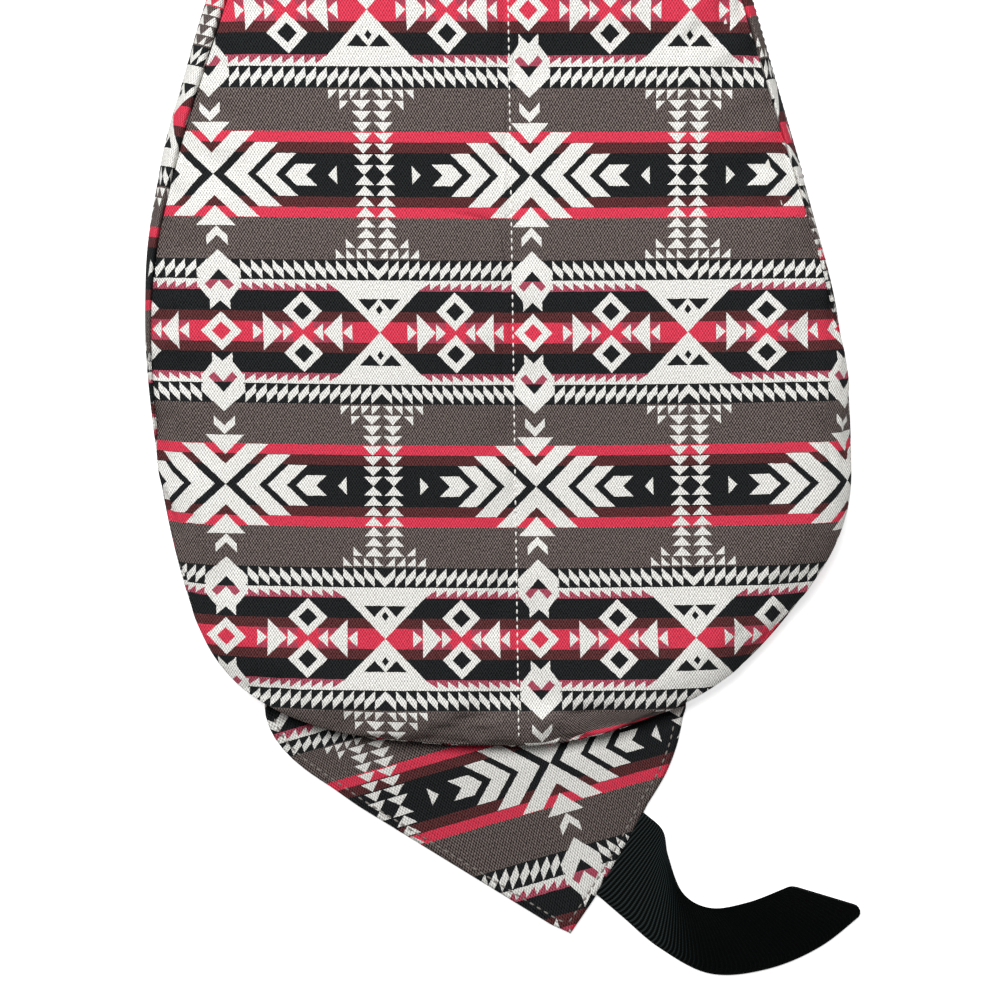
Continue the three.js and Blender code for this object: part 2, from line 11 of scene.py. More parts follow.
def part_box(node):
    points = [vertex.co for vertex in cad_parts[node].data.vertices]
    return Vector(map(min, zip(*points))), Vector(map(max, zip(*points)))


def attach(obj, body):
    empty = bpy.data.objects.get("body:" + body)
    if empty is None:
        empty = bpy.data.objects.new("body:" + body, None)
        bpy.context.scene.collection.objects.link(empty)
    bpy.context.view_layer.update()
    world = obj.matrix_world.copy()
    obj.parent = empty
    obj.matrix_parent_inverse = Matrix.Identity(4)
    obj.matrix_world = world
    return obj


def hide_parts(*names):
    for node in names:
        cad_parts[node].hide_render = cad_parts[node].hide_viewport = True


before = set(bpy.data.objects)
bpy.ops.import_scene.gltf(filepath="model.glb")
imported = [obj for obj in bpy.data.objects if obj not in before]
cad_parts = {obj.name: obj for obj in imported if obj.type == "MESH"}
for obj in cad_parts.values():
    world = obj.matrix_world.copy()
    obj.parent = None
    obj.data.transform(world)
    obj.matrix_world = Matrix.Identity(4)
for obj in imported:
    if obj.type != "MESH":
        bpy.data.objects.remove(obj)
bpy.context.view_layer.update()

MM = 0.001

# Photograph: its scale at the edge of the back panel, and the place in its middle
PHOTO_WIDTH = 1000 * 0.402 * MM
PHOTO_MIDDLE = (0.6 * MM, -40.2 * MM)
PHOTO_LEVEL = 25 * MM
CAMERA_HEIGHT = 2.4
SENSOR = 36.0

# Outline
BACK_MIDDLE = np.array((0.0, 70.0)) * MM
SLOPE_START_Y = 70 * MM
LIP = 3 * MM
RAY_SPACING = 0.004
LINE_STEPS = 24
STATIONS = 640

# Back panel
PANEL_THICKNESS = 1.4 * MM
PANEL_RINGS = 34
PANEL_FIRST_RING = 0.03
RIM_WIDTH = 12 * MM
RIM_RINGS = 15
RIM_ROLL = 3.4 * MM
RIM_TUCK = (0.4 * MM, 3.5 * MM)
ROLL_OVER = 0.42
ROLL_LEFT_Y = (-35 * MM, 0 * MM)
ROLL_RIGHT_Y = (5 * MM, 45 * MM)
RIPPLE = 0.7 * MM
RIPPLE_SIZE = 60 * MM
RIPPLE_SEED = 3.7
PUCKER = 0.22 * MM
PUCKER_PITCH = 9 * MM
PUCKER_REACH = 14 * MM
PUCKER_SWAY = 2.5
PUCKER_SWAY_SIZE = 3 * RIM_WIDTH
PUCKER_SEED = 9.1
QUILT_DEPTH = 0.7 * MM
QUILT_WIDTH = 2.4 * MM
QUILT_TOP = np.array((1.0, 348.0)) * MM
QUILT_BOTTOM = np.array((8.3, -142.0)) * MM

# Front panel: its flat rings, and the share and height of each ring at its edge
FRONT_RINGS = 12
FRONT_RING_SHARES = (0.1, 0.97)
FRONT_EDGE = ((0.985, 0.15 * MM), (0.995, 0.6 * MM), (1.0, 1.4 * MM))

# Padding of the back, filled by a short cloth simulation
SWELL_STATION_STEP = 4
SWELL_RING_STEP = 2
SWELL_PRESSURE = 4.0
SWELL_SLACK = 0.012
SWELL_FRAMES = 20
SWELL_CAP = 1.6 * MM

# Side strips
STRIP_THICKNESS = 1.0 * MM
STRIP_FOOT_TOP = 5.2 * MM
STRIP_STEPS = 5
STRIP_RIPPLE = 0.7 * MM
STRIP_RIPPLE_SIZE = 32 * MM
STRIP_RIPPLE_SEED = 5.3
ZIP_Z = 20.75 * MM
ZIP_SLOT_HALF = 5.5 * MM

# Sections of the strips, from the front up to the back. A point has its distance out of the front's rim
# first. At the foot and the zip's slot, its height follows. In the belly and the shoulder, its share of the
# way in to the back seam follows, and then its share of the way up to it. The last two stretches lie hidden
# under the back's rim.
FOOT = ((-0.6 * MM, 0.6 * MM), (0.1 * MM, 2.2 * MM), (0.3 * MM, 4.4 * MM))
BELLY = ((0.7 * MM, 0.0, 0.08), (2.5 * MM, 0.0, 0.28), (LIP, 0.0, 0.50), (LIP, 0.04, 0.69))
SHOULDER = ((LIP, 0.26, 0.84), (LIP, 0.6, 0.95), (LIP, 0.8, 0.955),
            (LIP, 0.93, 0.9), (LIP, 0.99, 0.78), (LIP, 1.0, 0.66))
HIDDEN_STEPS = 2 * STRIP_STEPS
SLOT_LOW = ((2.9 * MM, -1.6 * MM), (2.6 * MM, -0.2 * MM), (1.3 * MM, 0.0))
SLOT_HIGH = ((1.3 * MM, 0.0), (2.6 * MM, 0.2 * MM), (2.95 * MM, 1.8 * MM))
TUCK = 0.7 * MM

# Print: its unit, where the crossed arms of each piece lie, and how far the cloth has drifted from it
PRINT_UNIT = 4.19 * MM
PRINT_ROW_UNIT = 4.2815 * MM
PRINT_COLUMN_X = 12.66 * MM
PRINT_COLUMN_LEAN = 0.0177
PRINT_ROW_Y = 91.25 * MM
PRINT_ROW_SHRINK = 0.218
LAID_SHARES = np.array((1.0, 0.3, 0.0))
EDGE_PLAIN_ROW = -52.3
EDGE_PLAIN_LEAST = 0.1
EDGE_BAND_ROW = -57.9
EDGE_BAND_START = (18 * MM, 42 * MM)
EDGE_BAND_END = (60 * MM, 70 * MM)
DRIFT_SIZE = 100 * MM
DRIFT_RANGE = (-1.5, 1.6)
STRIP_LEFT_ROW_Y = 52 * MM
STRIP_RIGHT_ROW_Y = 42.2 * MM
STRIP_LEFT_COLUMN = 19.5
STRIP_LEFT_LEAN = 0.113
STRIP_RIGHT_COLUMN = 13.2
STRIP_RIGHT_LEAN = 0.17
STRIP_RIGHT_STRETCH = 1.054
ZIP_FRONT_SHIFT = 5
TAB_PRINT_PLACE = np.array((20.3, -145.5)) * MM
TAB_PRINT_TURN = math.radians(16)
TAB_DRIFT_SIZE = 50 * MM
HALF_REPEAT = 15.0
WOBBLE = 0.12
WOBBLE_SCALE = 2.2

# Canvas: its weave in units of the print, how far dots and grain tint it, and its finish
WEAVE_ACROSS = 0.27
WEAVE_ALONG = 0.43
WEAVE_DOTS = 0.5
WEAVE_DARKEST = 0.15
GRAIN_SCALE = 5.0
GRAIN_ON_FLECKS = 2.1
FLECK_LEAST = 0.35
CANVAS_LIFT = 0.16 * MM
CANVAS_SHINE = 0.05
LIFT_STRENGTH = 0.7
# Painted shade: the tab's canvas colour is darkened, standing in for the shade the tab lies in below the
# body.
TAB_PAINTED_SHADE = 0.73

# Tab at the bottom
TAB_THICKNESS = 1.2 * MM
TAB_RINGS = 30
TAB_FIRST_RING = 0.05
TAB_EDGE = 7 * MM
TAB_EDGE_RINGS = 15
TAB_EDGE_CROWDING = 1.3
TAB_TOP_LOW = 2.0 * MM
TAB_HEIGHT = 4.6 * MM
TAB_EDGE_ROUND = 2.4 * MM
TAB_DIP = 2.0 * MM
TAB_DIP_REACH = 9 * MM
TAB_EASE_LEFT = np.array((-0.52, -0.85)) * MM
TAB_EASE_LEFT_Y = (-165 * MM, -154 * MM)
TAB_EASE_RIGHT = np.array((1.64, -0.74)) * MM
TAB_EASE_RIGHT_Y = (-163.5 * MM, -127.8 * MM)
TAB_EASE_TIP = 8 * MM
TAB_STITCH_INSET = 3.2 * MM
TAB_STITCH_DEPTH = 0.5 * MM
TAB_STITCH_WIDTH = 0.9 * MM
TAB_RIPPLE = 0.5 * MM
TAB_RIPPLE_SIZE = 35 * MM
TAB_RIPPLE_SEED = 1.9
TAB_UNDER_RING_STEP = 3
TAB_UNDER_EDGE = np.array((0.3, 1.5)) * MM

# Webbing tail. Its run holds places of its inner and its outer edge in a frame where it leaves the tab. The
# run, its width, the ribs and the painted shade on them are in millimetres.
WEBBING_EXIT = Vector((49.9, -184.1, 2.1)) * MM
WEBBING_HEADING = math.radians(-35)
WEBBING_HALF = 19.05
WEBBING_THICKNESS = 1.6 * MM
WEBBING_HELD = 23.5
WEBBING_CORNERS = np.array((3.2, 6.5)) * MM
# Painted shade on the tail past its bend: where it starts, how far it takes to set in, and how dark it gets.
WEBBING_SHADE_START = 50
WEBBING_SHADE_RUN = 18
WEBBING_PAINTED_SHADE = 0.45
WEBBING_RIB = 1.5
WEBBING_RIB_SLANT = math.radians(8)
WEBBING_RIB_SHARE = 0.75
WEBBING_THREAD_LEAN = 0.5
WEBBING_LIFT = 0.2 * MM
WEBBING_SHINE = 0.02
WEBBING_DARK_END = 0.45
WEBBING_STEPS = 16
WEBBING_RUN = (
    ((-WEBBING_HELD, WEBBING_HALF, 0), (-WEBBING_HELD, -WEBBING_HALF, 0)),
    ((-WEBBING_HELD / 2, WEBBING_HALF, 0), (-WEBBING_HELD / 2, -WEBBING_HALF, 0)),
    ((0, WEBBING_HALF, 0), (0, -WEBBING_HALF, 0)),
    ((8.5, 17.55, 1), (15, -20.45, -0.6)),
    ((15.9, 10.7, 4.5), (34.5, -22, -1.5)),
    ((28.5, 2.3, 11.5), (57.5, -18.5, -1.8)),
    ((40.9, 3.8, 13), (75.2, -3.7, -1.8)),
    ((52, 14.3, 12), (87.5, 16, -1.8)),
    ((62, 29.7, 15.7), (94.4, 39.5, -1.8)),
)

# Both straps: shares of the width at which their rows lie, and the share of it that a selvedge rounds
SELVEDGE_SHARES = np.array((0.0, 0.012, 0.035))
STRAP_SHARES = (0.08, 0.92)
STRAP_ROWS = 15
SELVEDGE_ROUND = 0.07

# Rope loop
LOOP_PLACE = Vector((-7.4, 358.0, 20.0)) * MM
LOOP_WIDTH = 25.4 * MM
LOOP_THICKNESS = 1.8 * MM
LOOP_REACH = 26 * MM
LOOP_GAP = 14 * MM
LOOP_BOW_POINTS = 17

# Sewing thread
THREAD_RADIUS = 0.38 * MM
QUILT_STITCH = 3.2 * MM
TAB_STITCH = 3.4 * MM
ZIP_STITCH = 3.0 * MM
ZIP_STITCH_INSET = 1.5 * MM
ZIP_THREAD_RADIUS = 0.25 * MM
ZIP_STITCH_START = 20 * MM
STITCH_SHARE = 0.7
STITCH_SIDES = 6
STITCH_RINGS = 5
STITCH_END = 0.35
STITCH_RISE = 1.1
STITCH_SINK = 0.6
QUILT_POINTS = 200
TAB_TIP_FREE = 5

# Zip parts: how far their edges are rounded
TAPE_ROUND = 0.15 * MM
TEETH_ROUND = 0.3 * MM
TOP_STOP_ROUND = 0.4 * MM
BOTTOM_STOP_ROUND = 0.5 * MM
SLIDER_ROUND = 0.3 * MM
PULL_ROUND = 0.3 * MM
ROUND_SEGMENTS = 2
MERGE_DISTANCE = 0.01 * MM
FLAT_ANGLE = math.radians(1)
EDGE_ANGLE = math.radians(40)

# Floor, light and camera
FLOOR_SIZE = 12
FLOOR_GLOW = 0.63
WORLD_LIGHT = 0.22
SOFTBOX_SIZE = 6
SOFTBOX_POWER = 980
SOFTBOX_PLACE = (-1.5, 3.9, 8.0)
CAMERA_REACH = 50


# Lines and the outline


def node_points(node):
    """The corners of a CAD node, each once."""
    points = np.array([vertex.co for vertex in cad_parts[node].data.vertices])
    return np.unique(points.round(6), axis=0)


def outer_ring(node):
    """The outermost upper corners of a panel, one on each ray from the back's middle, counter-clockwise."""
    points = node_points(node)
    points = points[np.hypot(*(points[:, :2] - BACK_MIDDLE).T) > LIP]
    offsets = points[:, :2] - BACK_MIDDLE
    turns = np.arctan2(offsets[:, 1], offsets[:, 0])
    reach = np.hypot(offsets[:, 0], offsets[:, 1]).round(4)
    order = np.argsort(turns)
    rays = np.split(order, np.flatnonzero(np.diff(turns[order]) > RAY_SPACING) + 1)
    return np.array([points[max(ray, key=lambda k: (reach[k], points[k, 2]))] for ray in rays])


def bend(start, end, leave, arrive, share):
    """A smooth way from start to end that leaves and arrives along the given runs."""
    back = share - 1
    return (
        (1 + 2 * share) * back**2 * start
        + share * back**2 * leave
        + share**2 * (1 - 2 * back) * end
        + share**2 * back * arrive
    )


def closed_line(points, steps):
    """A smooth closed line through points."""
    ahead = np.roll(points, -1, axis=0)
    chord = np.linalg.norm(ahead - points, axis=1, keepdims=True)
    slope = (ahead - np.roll(points, 1, axis=0)) / (chord + np.roll(chord, 1, axis=0))
    next_slope = np.roll(slope, -1, axis=0)
    shares = np.arange(steps) / steps
    line = [bend(points, ahead, slope * chord, next_slope * chord, share) for share in shares]
    return np.stack(line, axis=1).reshape(-1, points.shape[1])


def open_line(points, steps):
    """A smooth line through points, or side by side through stacks of them."""
    runs = np.gradient(points, axis=0)
    line = []
    for k in range(len(points) - 1):
        for share in np.arange(steps) / steps:
            line.append(bend(points[k], points[k + 1], runs[k], runs[k + 1], share))
    return np.array([*line, points[-1]])


def lengths_along(line):
    """How far each point of a line, or of a stack of lines, lies from its start."""
    steps = np.linalg.norm(np.diff(line, axis=0), axis=-1)
    return np.concatenate((np.zeros_like(steps[:1]), np.cumsum(steps, axis=0)))


def points_at(line, run, places):
    """Points of a line at places along it, where run says how far along each of its own points lies."""
    return np.stack([np.interp(places, run, column) for column in line.T], axis=1)


def evenly(lines, count):
    """Closed lines with matching points, at even steps along the first one."""
    looped = [np.concatenate((line, line[:1])) for line in lines]
    run = lengths_along(looped[0])
    places = np.arange(count) * run[-1] / count
    return [points_at(line, run, places) for line in looped]


def directions(line):
    """The unit direction of a closed line at each of its points."""
    run = np.roll(line, -1, axis=0) - np.roll(line, 1, axis=0)
    return run / np.linalg.norm(run, axis=1, keepdims=True)


def area_inside(line):
    """The area inside a closed line, seen from above."""
    x, y = line[:, 0], line[:, 1]
    return abs((x * np.roll(y, -1) - np.roll(x, -1) * y).sum()) / 2


def ripples(points, size, seed):
    """Smooth random numbers from -1 to 1 over a stack of points."""
    flat = points.reshape(-1, 3) / size + seed
    values = [noise.noise(Vector(point)) for point in flat]
    return np.array(values).reshape(points.shape[:-1])


front_ring = outer_ring("front_panel")
back_ring = outer_ring("back_panel")
turn = min(
    range(len(front_ring)),
    key=lambda k: np.abs(np.roll(back_ring, k, axis=0)[:, :2] - front_ring[:, :2]).sum(),
)
back_ring = np.roll(back_ring, turn, axis=0)
front_line, seam_line = evenly(
    (closed_line(front_ring, LINE_STEPS), closed_line(back_ring, LINE_STEPS)), STATIONS
)
tangent = directions(front_line)
outward = np.stack((tangent[:, 1], -tangent[:, 0], np.zeros(STATIONS)), axis=1)

bottom_y = front_line[:, 1].min() - LIP
seam_low = seam_line[:, 2].min()
seam_high = seam_line[:, 2].max()
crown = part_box("back_panel")[1].z - seam_high


def smooth_share(value, low, high):
    """0 up to low, 1 from high on, and smooth between them."""
    share = np.clip((value - low) / (high - low), 0, 1)
    return share**2 * (3 - 2 * share)


# Where the back panel rolls over the widest line, so that its seam is out of sight: 1 along the lower edge
leftness = (1 - outward[:, 0]) / 2
roll_low = ROLL_RIGHT_Y[0] + leftness * (ROLL_LEFT_Y[0] - ROLL_RIGHT_Y[0])
roll_high = ROLL_RIGHT_Y[1] + leftness * (ROLL_LEFT_Y[1] - ROLL_RIGHT_Y[1])
roll = 1 - smooth_share(front_line[:, 1], roll_low, roll_high)
widest_line = front_line + outward * LIP
seam_gap = ((widest_line - seam_line) * outward).sum(axis=1)
seam_line[:, :2] += outward[:, :2] * (seam_gap * roll)[:, None]
seam_drop = ROLL_OVER * roll * seam_line[:, 2]


def edge_height(y):
    """Height of the back panel's edge at y, lower toward the bottom of the bag."""
    return seam_low + (seam_high - seam_low) * smooth_share(y, bottom_y, SLOPE_START_Y)


def print_drift(points):
    """How far the sewn cloth has drifted from an even print, sideways and along the bag."""
    x = points[..., 0] / DRIFT_SIZE
    y = np.clip(points[..., 1] / DRIFT_SIZE, *DRIFT_RANGE)
    sideways = -0.6 + 0.35 * y + x * (3.6 - 2.2 * (x**2 + y**2))
    along = 1.35 - x**2 + y * (1.16 + 1.16 * y - 1.14 * y**2)
    return sideways * MM, along * MM


def panel_places(points):
    """Places in the print for points of the two panels."""
    sideways, along = print_drift(points)
    x, y = points[..., 0] + sideways, points[..., 1] + along
    rise = y - PRINT_ROW_Y
    column = (x - PRINT_COLUMN_X + rise * PRINT_COLUMN_LEAN) / PRINT_UNIT
    row = rise / PRINT_ROW_UNIT * (1 - PRINT_ROW_SHRINK * rise)
    return np.stack((column, row), axis=-1)


# Meshes


def in_scene(name, data):
    """An object of a mesh, a light or a camera, in the scene."""
    thing = bpy.data.objects.new(name, data)
    bpy.context.scene.collection.objects.link(thing)
    return thing


def mesh_piece(name, points, faces, places, material):
    """A smooth piece from points and faces, with a place in the weave or print for each point."""
    mesh = bpy.data.meshes.new(name)
    mesh.from_pydata(np.asarray(points).tolist(), [], faces)
    layer = mesh.uv_layers.new(name="place")
    corner_points = np.zeros(len(mesh.loops), dtype=int)
    mesh.loops.foreach_get("vertex_index", corner_points)
    layer.data.foreach_set("uv", np.asarray(places)[corner_points].ravel())
    mesh.polygons.foreach_set("use_smooth", [True] * len(mesh.polygons))
    mesh.materials.append(material)
    return in_scene(name, mesh)


def grid_faces(rows, columns, around=False, flip=False):
    """Quads between rows of points."""
    faces = []
    for row in range(rows - 1):
        for column in range(columns if around else columns - 1):
            after = (column + 1) % columns
            quad = [
                row * columns + column,
                (row + 1) * columns + column,
                (row + 1) * columns + after,
                row * columns + after,
            ]
            faces.append(quad[::-1] if flip else quad)
    return faces


def disc_piece(name, rings, middle, places, middle_place, material, flip=False):
    """A sheet of closed rings, from the inside out, round a middle point."""
    rows, columns = rings.shape[:2]
    faces = grid_faces(rows, columns, around=True, flip=flip)
    centre = rows * columns
    for column in range(columns):
        fan = [centre, column, (column + 1) % columns]
        faces.append(fan[::-1] if flip else fan)
    points = np.concatenate((rings.reshape(-1, 3), [middle]))
    all_places = np.concatenate((places.reshape(-1, 2), [middle_place]))
    return mesh_piece(name, points, faces, all_places, material)


def rings_between(middle, rim, first, count, edge, edge_shares):
    """Flat closed rings of points from a middle out to a rim: even ones, then closer ones on the edge.

    Each of edge_shares is how much of the edge's width lies outside one ring. The points come with their
    reach, as a share of the way out, and their distance from the rim.
    """
    full = np.linalg.norm(rim - middle, axis=1)
    inner = np.linspace(first, 1, count)[:, None] * (1 - edge / full)
    outer = 1 - edge_shares[:, None] * edge / full
    reach = np.concatenate((inner, outer))
    points = np.zeros((*reach.shape, 3))
    points[..., :2] = middle + reach[..., None] * (rim - middle)
    return points, reach, (1 - reach) * full


def select_only(piece):
    """Makes a piece the active one, and the only one selected."""
    bpy.ops.object.select_all(action="DESELECT")
    bpy.context.view_layer.objects.active = piece
    piece.select_set(True)


def apply_modifier(piece, kind, **settings):
    """Adds a modifier to a piece and applies it."""
    modifier = piece.modifiers.new(kind.title(), kind)
    for name, value in settings.items():
        setattr(modifier, name, value)
    select_only(piece)
    bpy.ops.object.modifier_apply(modifier=modifier.name)


def thicken(piece, thickness):
    """Gives a sheet its thickness, under its face."""
    apply_modifier(piece, "SOLIDIFY", thickness=thickness, offset=-1.0)


def dress(piece, nodes=(), body="bag"):
    """Puts a finished piece on a body, in the place of CAD nodes."""
    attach(piece, body)
    if nodes:
        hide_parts(*nodes)


# Materials


def linear(red, green, blue):
    """A colour as seen, from 0 to 255, as light."""
    light = [share / 12.92 if share <= 0.04045 else ((share + 0.055) / 1.055) ** 2.4
             for share in (red / 255, green / 255, blue / 255)]
    return (*light, 1.0)


CREAM = linear(226, 225, 220)
TAUPE = linear(91, 82, 79)
BLACK = linear(32, 34, 35)
RED = linear(211, 60, 82)
DEEP_RED = linear(168, 68, 86)
PINK = linear(166, 76, 94)
BROWN = linear(86, 47, 48)
WEBBING_BLACK = linear(14, 17, 17)
WEBBING_DARK = linear(4, 5, 5)
# The webbing's lightest colour is a painted highlight on its rib crests.
WEBBING_PAINTED_HIGHLIGHT = linear(42, 50, 50)
FLOOR_PALE = linear(240, 240, 240)

# Bands of the print, each from its row on
BANDS = ((0, BLACK), (2, BROWN), (3, RED), (4, TAUPE), (8, BLACK),
         (10, PINK), (11, BLACK), (13, BROWN), (14, RED))


class Field:
    """A number that changes over a surface, put together from math nodes."""

    def __init__(self, tree, socket):
        self.tree = tree
        self.socket = socket

    def math(self, operation, *others):
        node = self.tree.nodes.new("ShaderNodeMath")
        node.operation = operation
        feed(node, dict(enumerate((self, *others))))
        return Field(self.tree, node.outputs[0])

    __add__ = partialmethod(math, "ADD")
    __sub__ = partialmethod(math, "SUBTRACT")
    __mul__ = partialmethod(math, "MULTIPLY")
    __lt__ = partialmethod(math, "LESS_THAN")
    __gt__ = partialmethod(math, "GREATER_THAN")
    __and__ = partialmethod(math, "MULTIPLY")
    __or__ = partialmethod(math, "MAXIMUM")
    least = partialmethod(math, "MINIMUM")
    most = partialmethod(math, "MAXIMUM")
    within = partialmethod(math, "COMPARE")
    size = partialmethod(math, "ABSOLUTE")
    part = partialmethod(math, "FRACT")
    wave = partialmethod(math, "SINE")
    fold = partialmethod(math, "PINGPONG")

    def __rsub__(self, other):
        return self.math("MULTIPLY_ADD", -1.0, other)


def feed(node, inputs):
    """Joins inputs of a node to sockets and fields, or gives them values."""
    for name, value in inputs.items():
        if isinstance(value, Field):
            value = value.socket
        if isinstance(value, bpy.types.NodeSocket):
            node.id_data.links.new(value, node.inputs[name])
        else:
            node.inputs[name].default_value = value


def new_group(name, inputs, outputs):
    """A node group with its sockets, and its input and output nodes."""
    tree = bpy.data.node_groups.new(name, "ShaderNodeTree")
    for label, kind in inputs:
        tree.interface.new_socket(label, in_out="INPUT", socket_type=kind)
    for label, kind in outputs:
        tree.interface.new_socket(label, in_out="OUTPUT", socket_type=kind)
    return tree, tree.nodes.new("NodeGroupInput"), tree.nodes.new("NodeGroupOutput")


def painted(tree, under, mask, colour):
    """Colour laid over what is under it where mask is 1."""
    mix = tree.nodes.new("ShaderNodeMix")
    mix.data_type = "RGBA"
    feed(mix, {"Factor": mask, 6: under, 7: colour})
    return mix.outputs[2]


def place_fields(tree, place):
    """The two numbers of a place, each as a field."""
    split = tree.nodes.new("ShaderNodeSeparateXYZ")
    feed(split, {0: place})
    return Field(tree, split.outputs["X"]), Field(tree, split.outputs["Y"])


def scaled(tree, colour, factor):
    """A colour made lighter or darker by a factor, which is a number or a field."""
    node = tree.nodes.new("ShaderNodeVectorMath")
    node.operation = "SCALE"
    feed(node, {0: colour, "Scale": factor})
    return node.outputs[0]


def banded_print():
    """The canvas print: bands folded about the crossed arms, with cream and dark shapes on them."""
    tree, start, end = new_group(
        "banded_print",
        [("Place", "NodeSocketVector")],
        [("Color", "NodeSocketColor"), ("Fleck", "NodeSocketFloat")],
    )
    wobble = tree.nodes.new("ShaderNodeTexNoise")
    feed(wobble, {"Scale": WOBBLE_SCALE, "Vector": start.outputs["Place"]})
    shift = tree.nodes.new("ShaderNodeVectorMath")
    shift.operation = "MULTIPLY_ADD"
    feed(shift, {0: wobble.outputs["Color"], 1: (WOBBLE, WOBBLE, 0.0), 2: start.outputs["Place"]})
    column, row = place_fields(tree, shift.outputs[0])
    across = (column - WOBBLE / 2).fold(HALF_REPEAT)
    down = (row - WOBBLE / 2).fold(HALF_REPEAT)

    ramp = tree.nodes.new("ShaderNodeValToRGB")
    ramp.color_ramp.interpolation = "CONSTANT"
    stops = ramp.color_ramp.elements
    while len(stops) < len(BANDS):
        stops.new(1.0)
    for stop, (place, colour) in zip(stops, BANDS):
        stop.position = place / HALF_REPEAT
        stop.color = colour
    feed(ramp, {"Fac": down * (1 / HALF_REPEAT)})

    # Crossed arms with arrows beside them
    slant = down - across
    cream = slant.within(1.0, 1.0) & (down < 4)
    for middle, half, reach in ((-2.05, 1.05, 3), (-4.8, 0.9, 2), (-7.55, 0.95, 1)):
        cream |= slant.within(middle, half) & (down < reach)
    cream |= across.within(11.0, 0.42) & (down < (across - 10.6) * 1.05)

    # Arrowhead, chevron and hexagon above and below the arms
    cream |= (across < (down - 2.95) * 0.94) & (down < 4.85)
    cream |= slant.within(5.33, 0.43) & (across < 0.97)
    foot = ((12.0 - down) * 0.76 + 0.93).most(0.93)
    hexagon = (across < (down - 7.15).least(foot)) & (across < 1.86)
    cream |= hexagon & (down < 12.9) & (across > (down - 12.05) * 1.07)

    # Columns of small triangles, and the half triangles at their feet
    edge = HALF_REPEAT - across
    step = down.part()
    small = (edge - 1.0).size() < step * 0.98
    cream |= small & (step < 0.92) & (down < 7)
    feet = (down.within(7.5, 0.5) & (edge < 4)) | (down.within(6.5, 0.5) & edge.within(2.5, 0.5))
    cream |= feet & ((step + edge.part()) > 1) & (step < 0.86)

    # Slanted teeth, and the pink row under them
    teeth = across.part() - down
    cream |= teeth.within(-8.5, 0.42) & down.within(9.0, 0.93)
    cream |= down.within(10.1, 0.12)
    cream |= ((down - 10.2) < across.part() * 0.7) & down.within(10.6, 0.45)

    # Large triangle
    rise = HALF_REPEAT - down
    cream |= (edge < rise * 0.96) & (down > 10.1)

    # Red band: ring, triangles and double rings
    ring = across + rise
    cream |= ring.within(1.385, 0.49)
    side = (across - 7.62).size()
    rings = side + (rise - 2.05).size()
    cream |= rings.within(1.38, 0.47)
    for tip, base, half in ((0.97, 1.9, 0.85), (1.95, 3.75, 1.85), (3.8, 4.7, 0.8)):
        cream |= (rise < (side - tip) * (half / (base - tip))) & (side < base)

    # Dark shapes on the cream ones
    dark = rings < 0.91
    dark |= ((edge - 1.05).size() < (rise - 2.13) * 0.91) & (rise < 3.23)
    dark |= (edge * 1.35 + (rise - 2.2).size()) < 0.46
    dark |= (across < (down - 9.05) * 0.9) & (down < 10.05)
    chevron = (across > (down - 10.1) * 0.92) & (across < (down - 9.05) * 0.9)
    chevron = chevron & (down > 10.05) & ((across + down) < 11.86)

    shaded = side.within(2.85, 1.9) & rise.within(0.72, 0.28)
    colour = ramp.outputs["Color"]
    for mask, paint in ((shaded, DEEP_RED), (cream, CREAM), (dark, BLACK), (chevron, PINK)):
        colour = painted(tree, colour, mask, paint)
    red = down.within(3.5, 0.5) | down.within(14.5, 0.5)
    taupe = down.within(6.0, 2.0)
    fleck = (taupe * (1 - FLECK_LEAST) + FLECK_LEAST) & (1.0 - (cream | red))
    feed(end, {"Color": colour, "Fleck": fleck})
    return tree


def plain_weave():
    """Dots of a plain weave, which tint a colour and lift the surface."""
    tree, start, end = new_group(
        "plain_weave",
        [("Place", "NodeSocketVector"), ("Color", "NodeSocketColor"), ("Fleck", "NodeSocketFloat")],
        [("Color", "NodeSocketColor"), ("Height", "NodeSocketFloat")],
    )
    across, along = place_fields(tree, start.outputs["Place"])
    dots = (across * (math.tau / WEAVE_ACROSS)).wave() * (along * (math.tau / WEAVE_ALONG)).wave()
    uneven = tree.nodes.new("ShaderNodeTexNoise")
    feed(uneven, {"Scale": GRAIN_SCALE, "Vector": start.outputs["Place"]})
    fleck = Field(tree, start.outputs["Fleck"])
    grain = Field(tree, uneven.outputs["Fac"]) - 0.5
    tone = dots * (fleck + WEAVE_DOTS) + grain * (fleck * GRAIN_ON_FLECKS + 1.0) + 1.0
    tinted = scaled(tree, start.outputs["Color"], tone.most(WEAVE_DARKEST))
    feed(end, {"Color": tinted, "Height": dots})
    return tree


def diagonal_ribs():
    """""Fine slanted ribs of webbing, as a height and as painted light; places are in millimetres."" """
    tree, start, end = new_group(
        "diagonal_ribs", [("Place", "NodeSocketVector")],
        [("Height", "NodeSocketFloat"), ("Light", "NodeSocketFloat")],
    )
    across, along = place_fields(tree, start.outputs["Place"])
    rib_way = along * math.cos(WEBBING_RIB_SLANT) + across * math.sin(WEBBING_RIB_SLANT)
    rib = (rib_way * (math.tau / WEBBING_RIB)).wave()
    thread_way = across + along * WEBBING_THREAD_LEAN
    thread = (thread_way * (math.tau / (WEBBING_RIB / 2))).wave()
    height = rib * WEBBING_RIB_SHARE + thread * (1 - WEBBING_RIB_SHARE)
    # Painted light: rib crests are lighter than the grooves as a painted highlight, and past the bend the
    # tail is darkened as painted shade.
    painted_shade_share = ((along - WEBBING_SHADE_START) * (1 / WEBBING_SHADE_RUN)).most(0.0).least(1.0)
    light = (height * 0.5 + 0.5) * (1.0 - painted_shade_share * WEBBING_PAINTED_SHADE)
    feed(end, {"Height": height, "Light": light})
    return tree


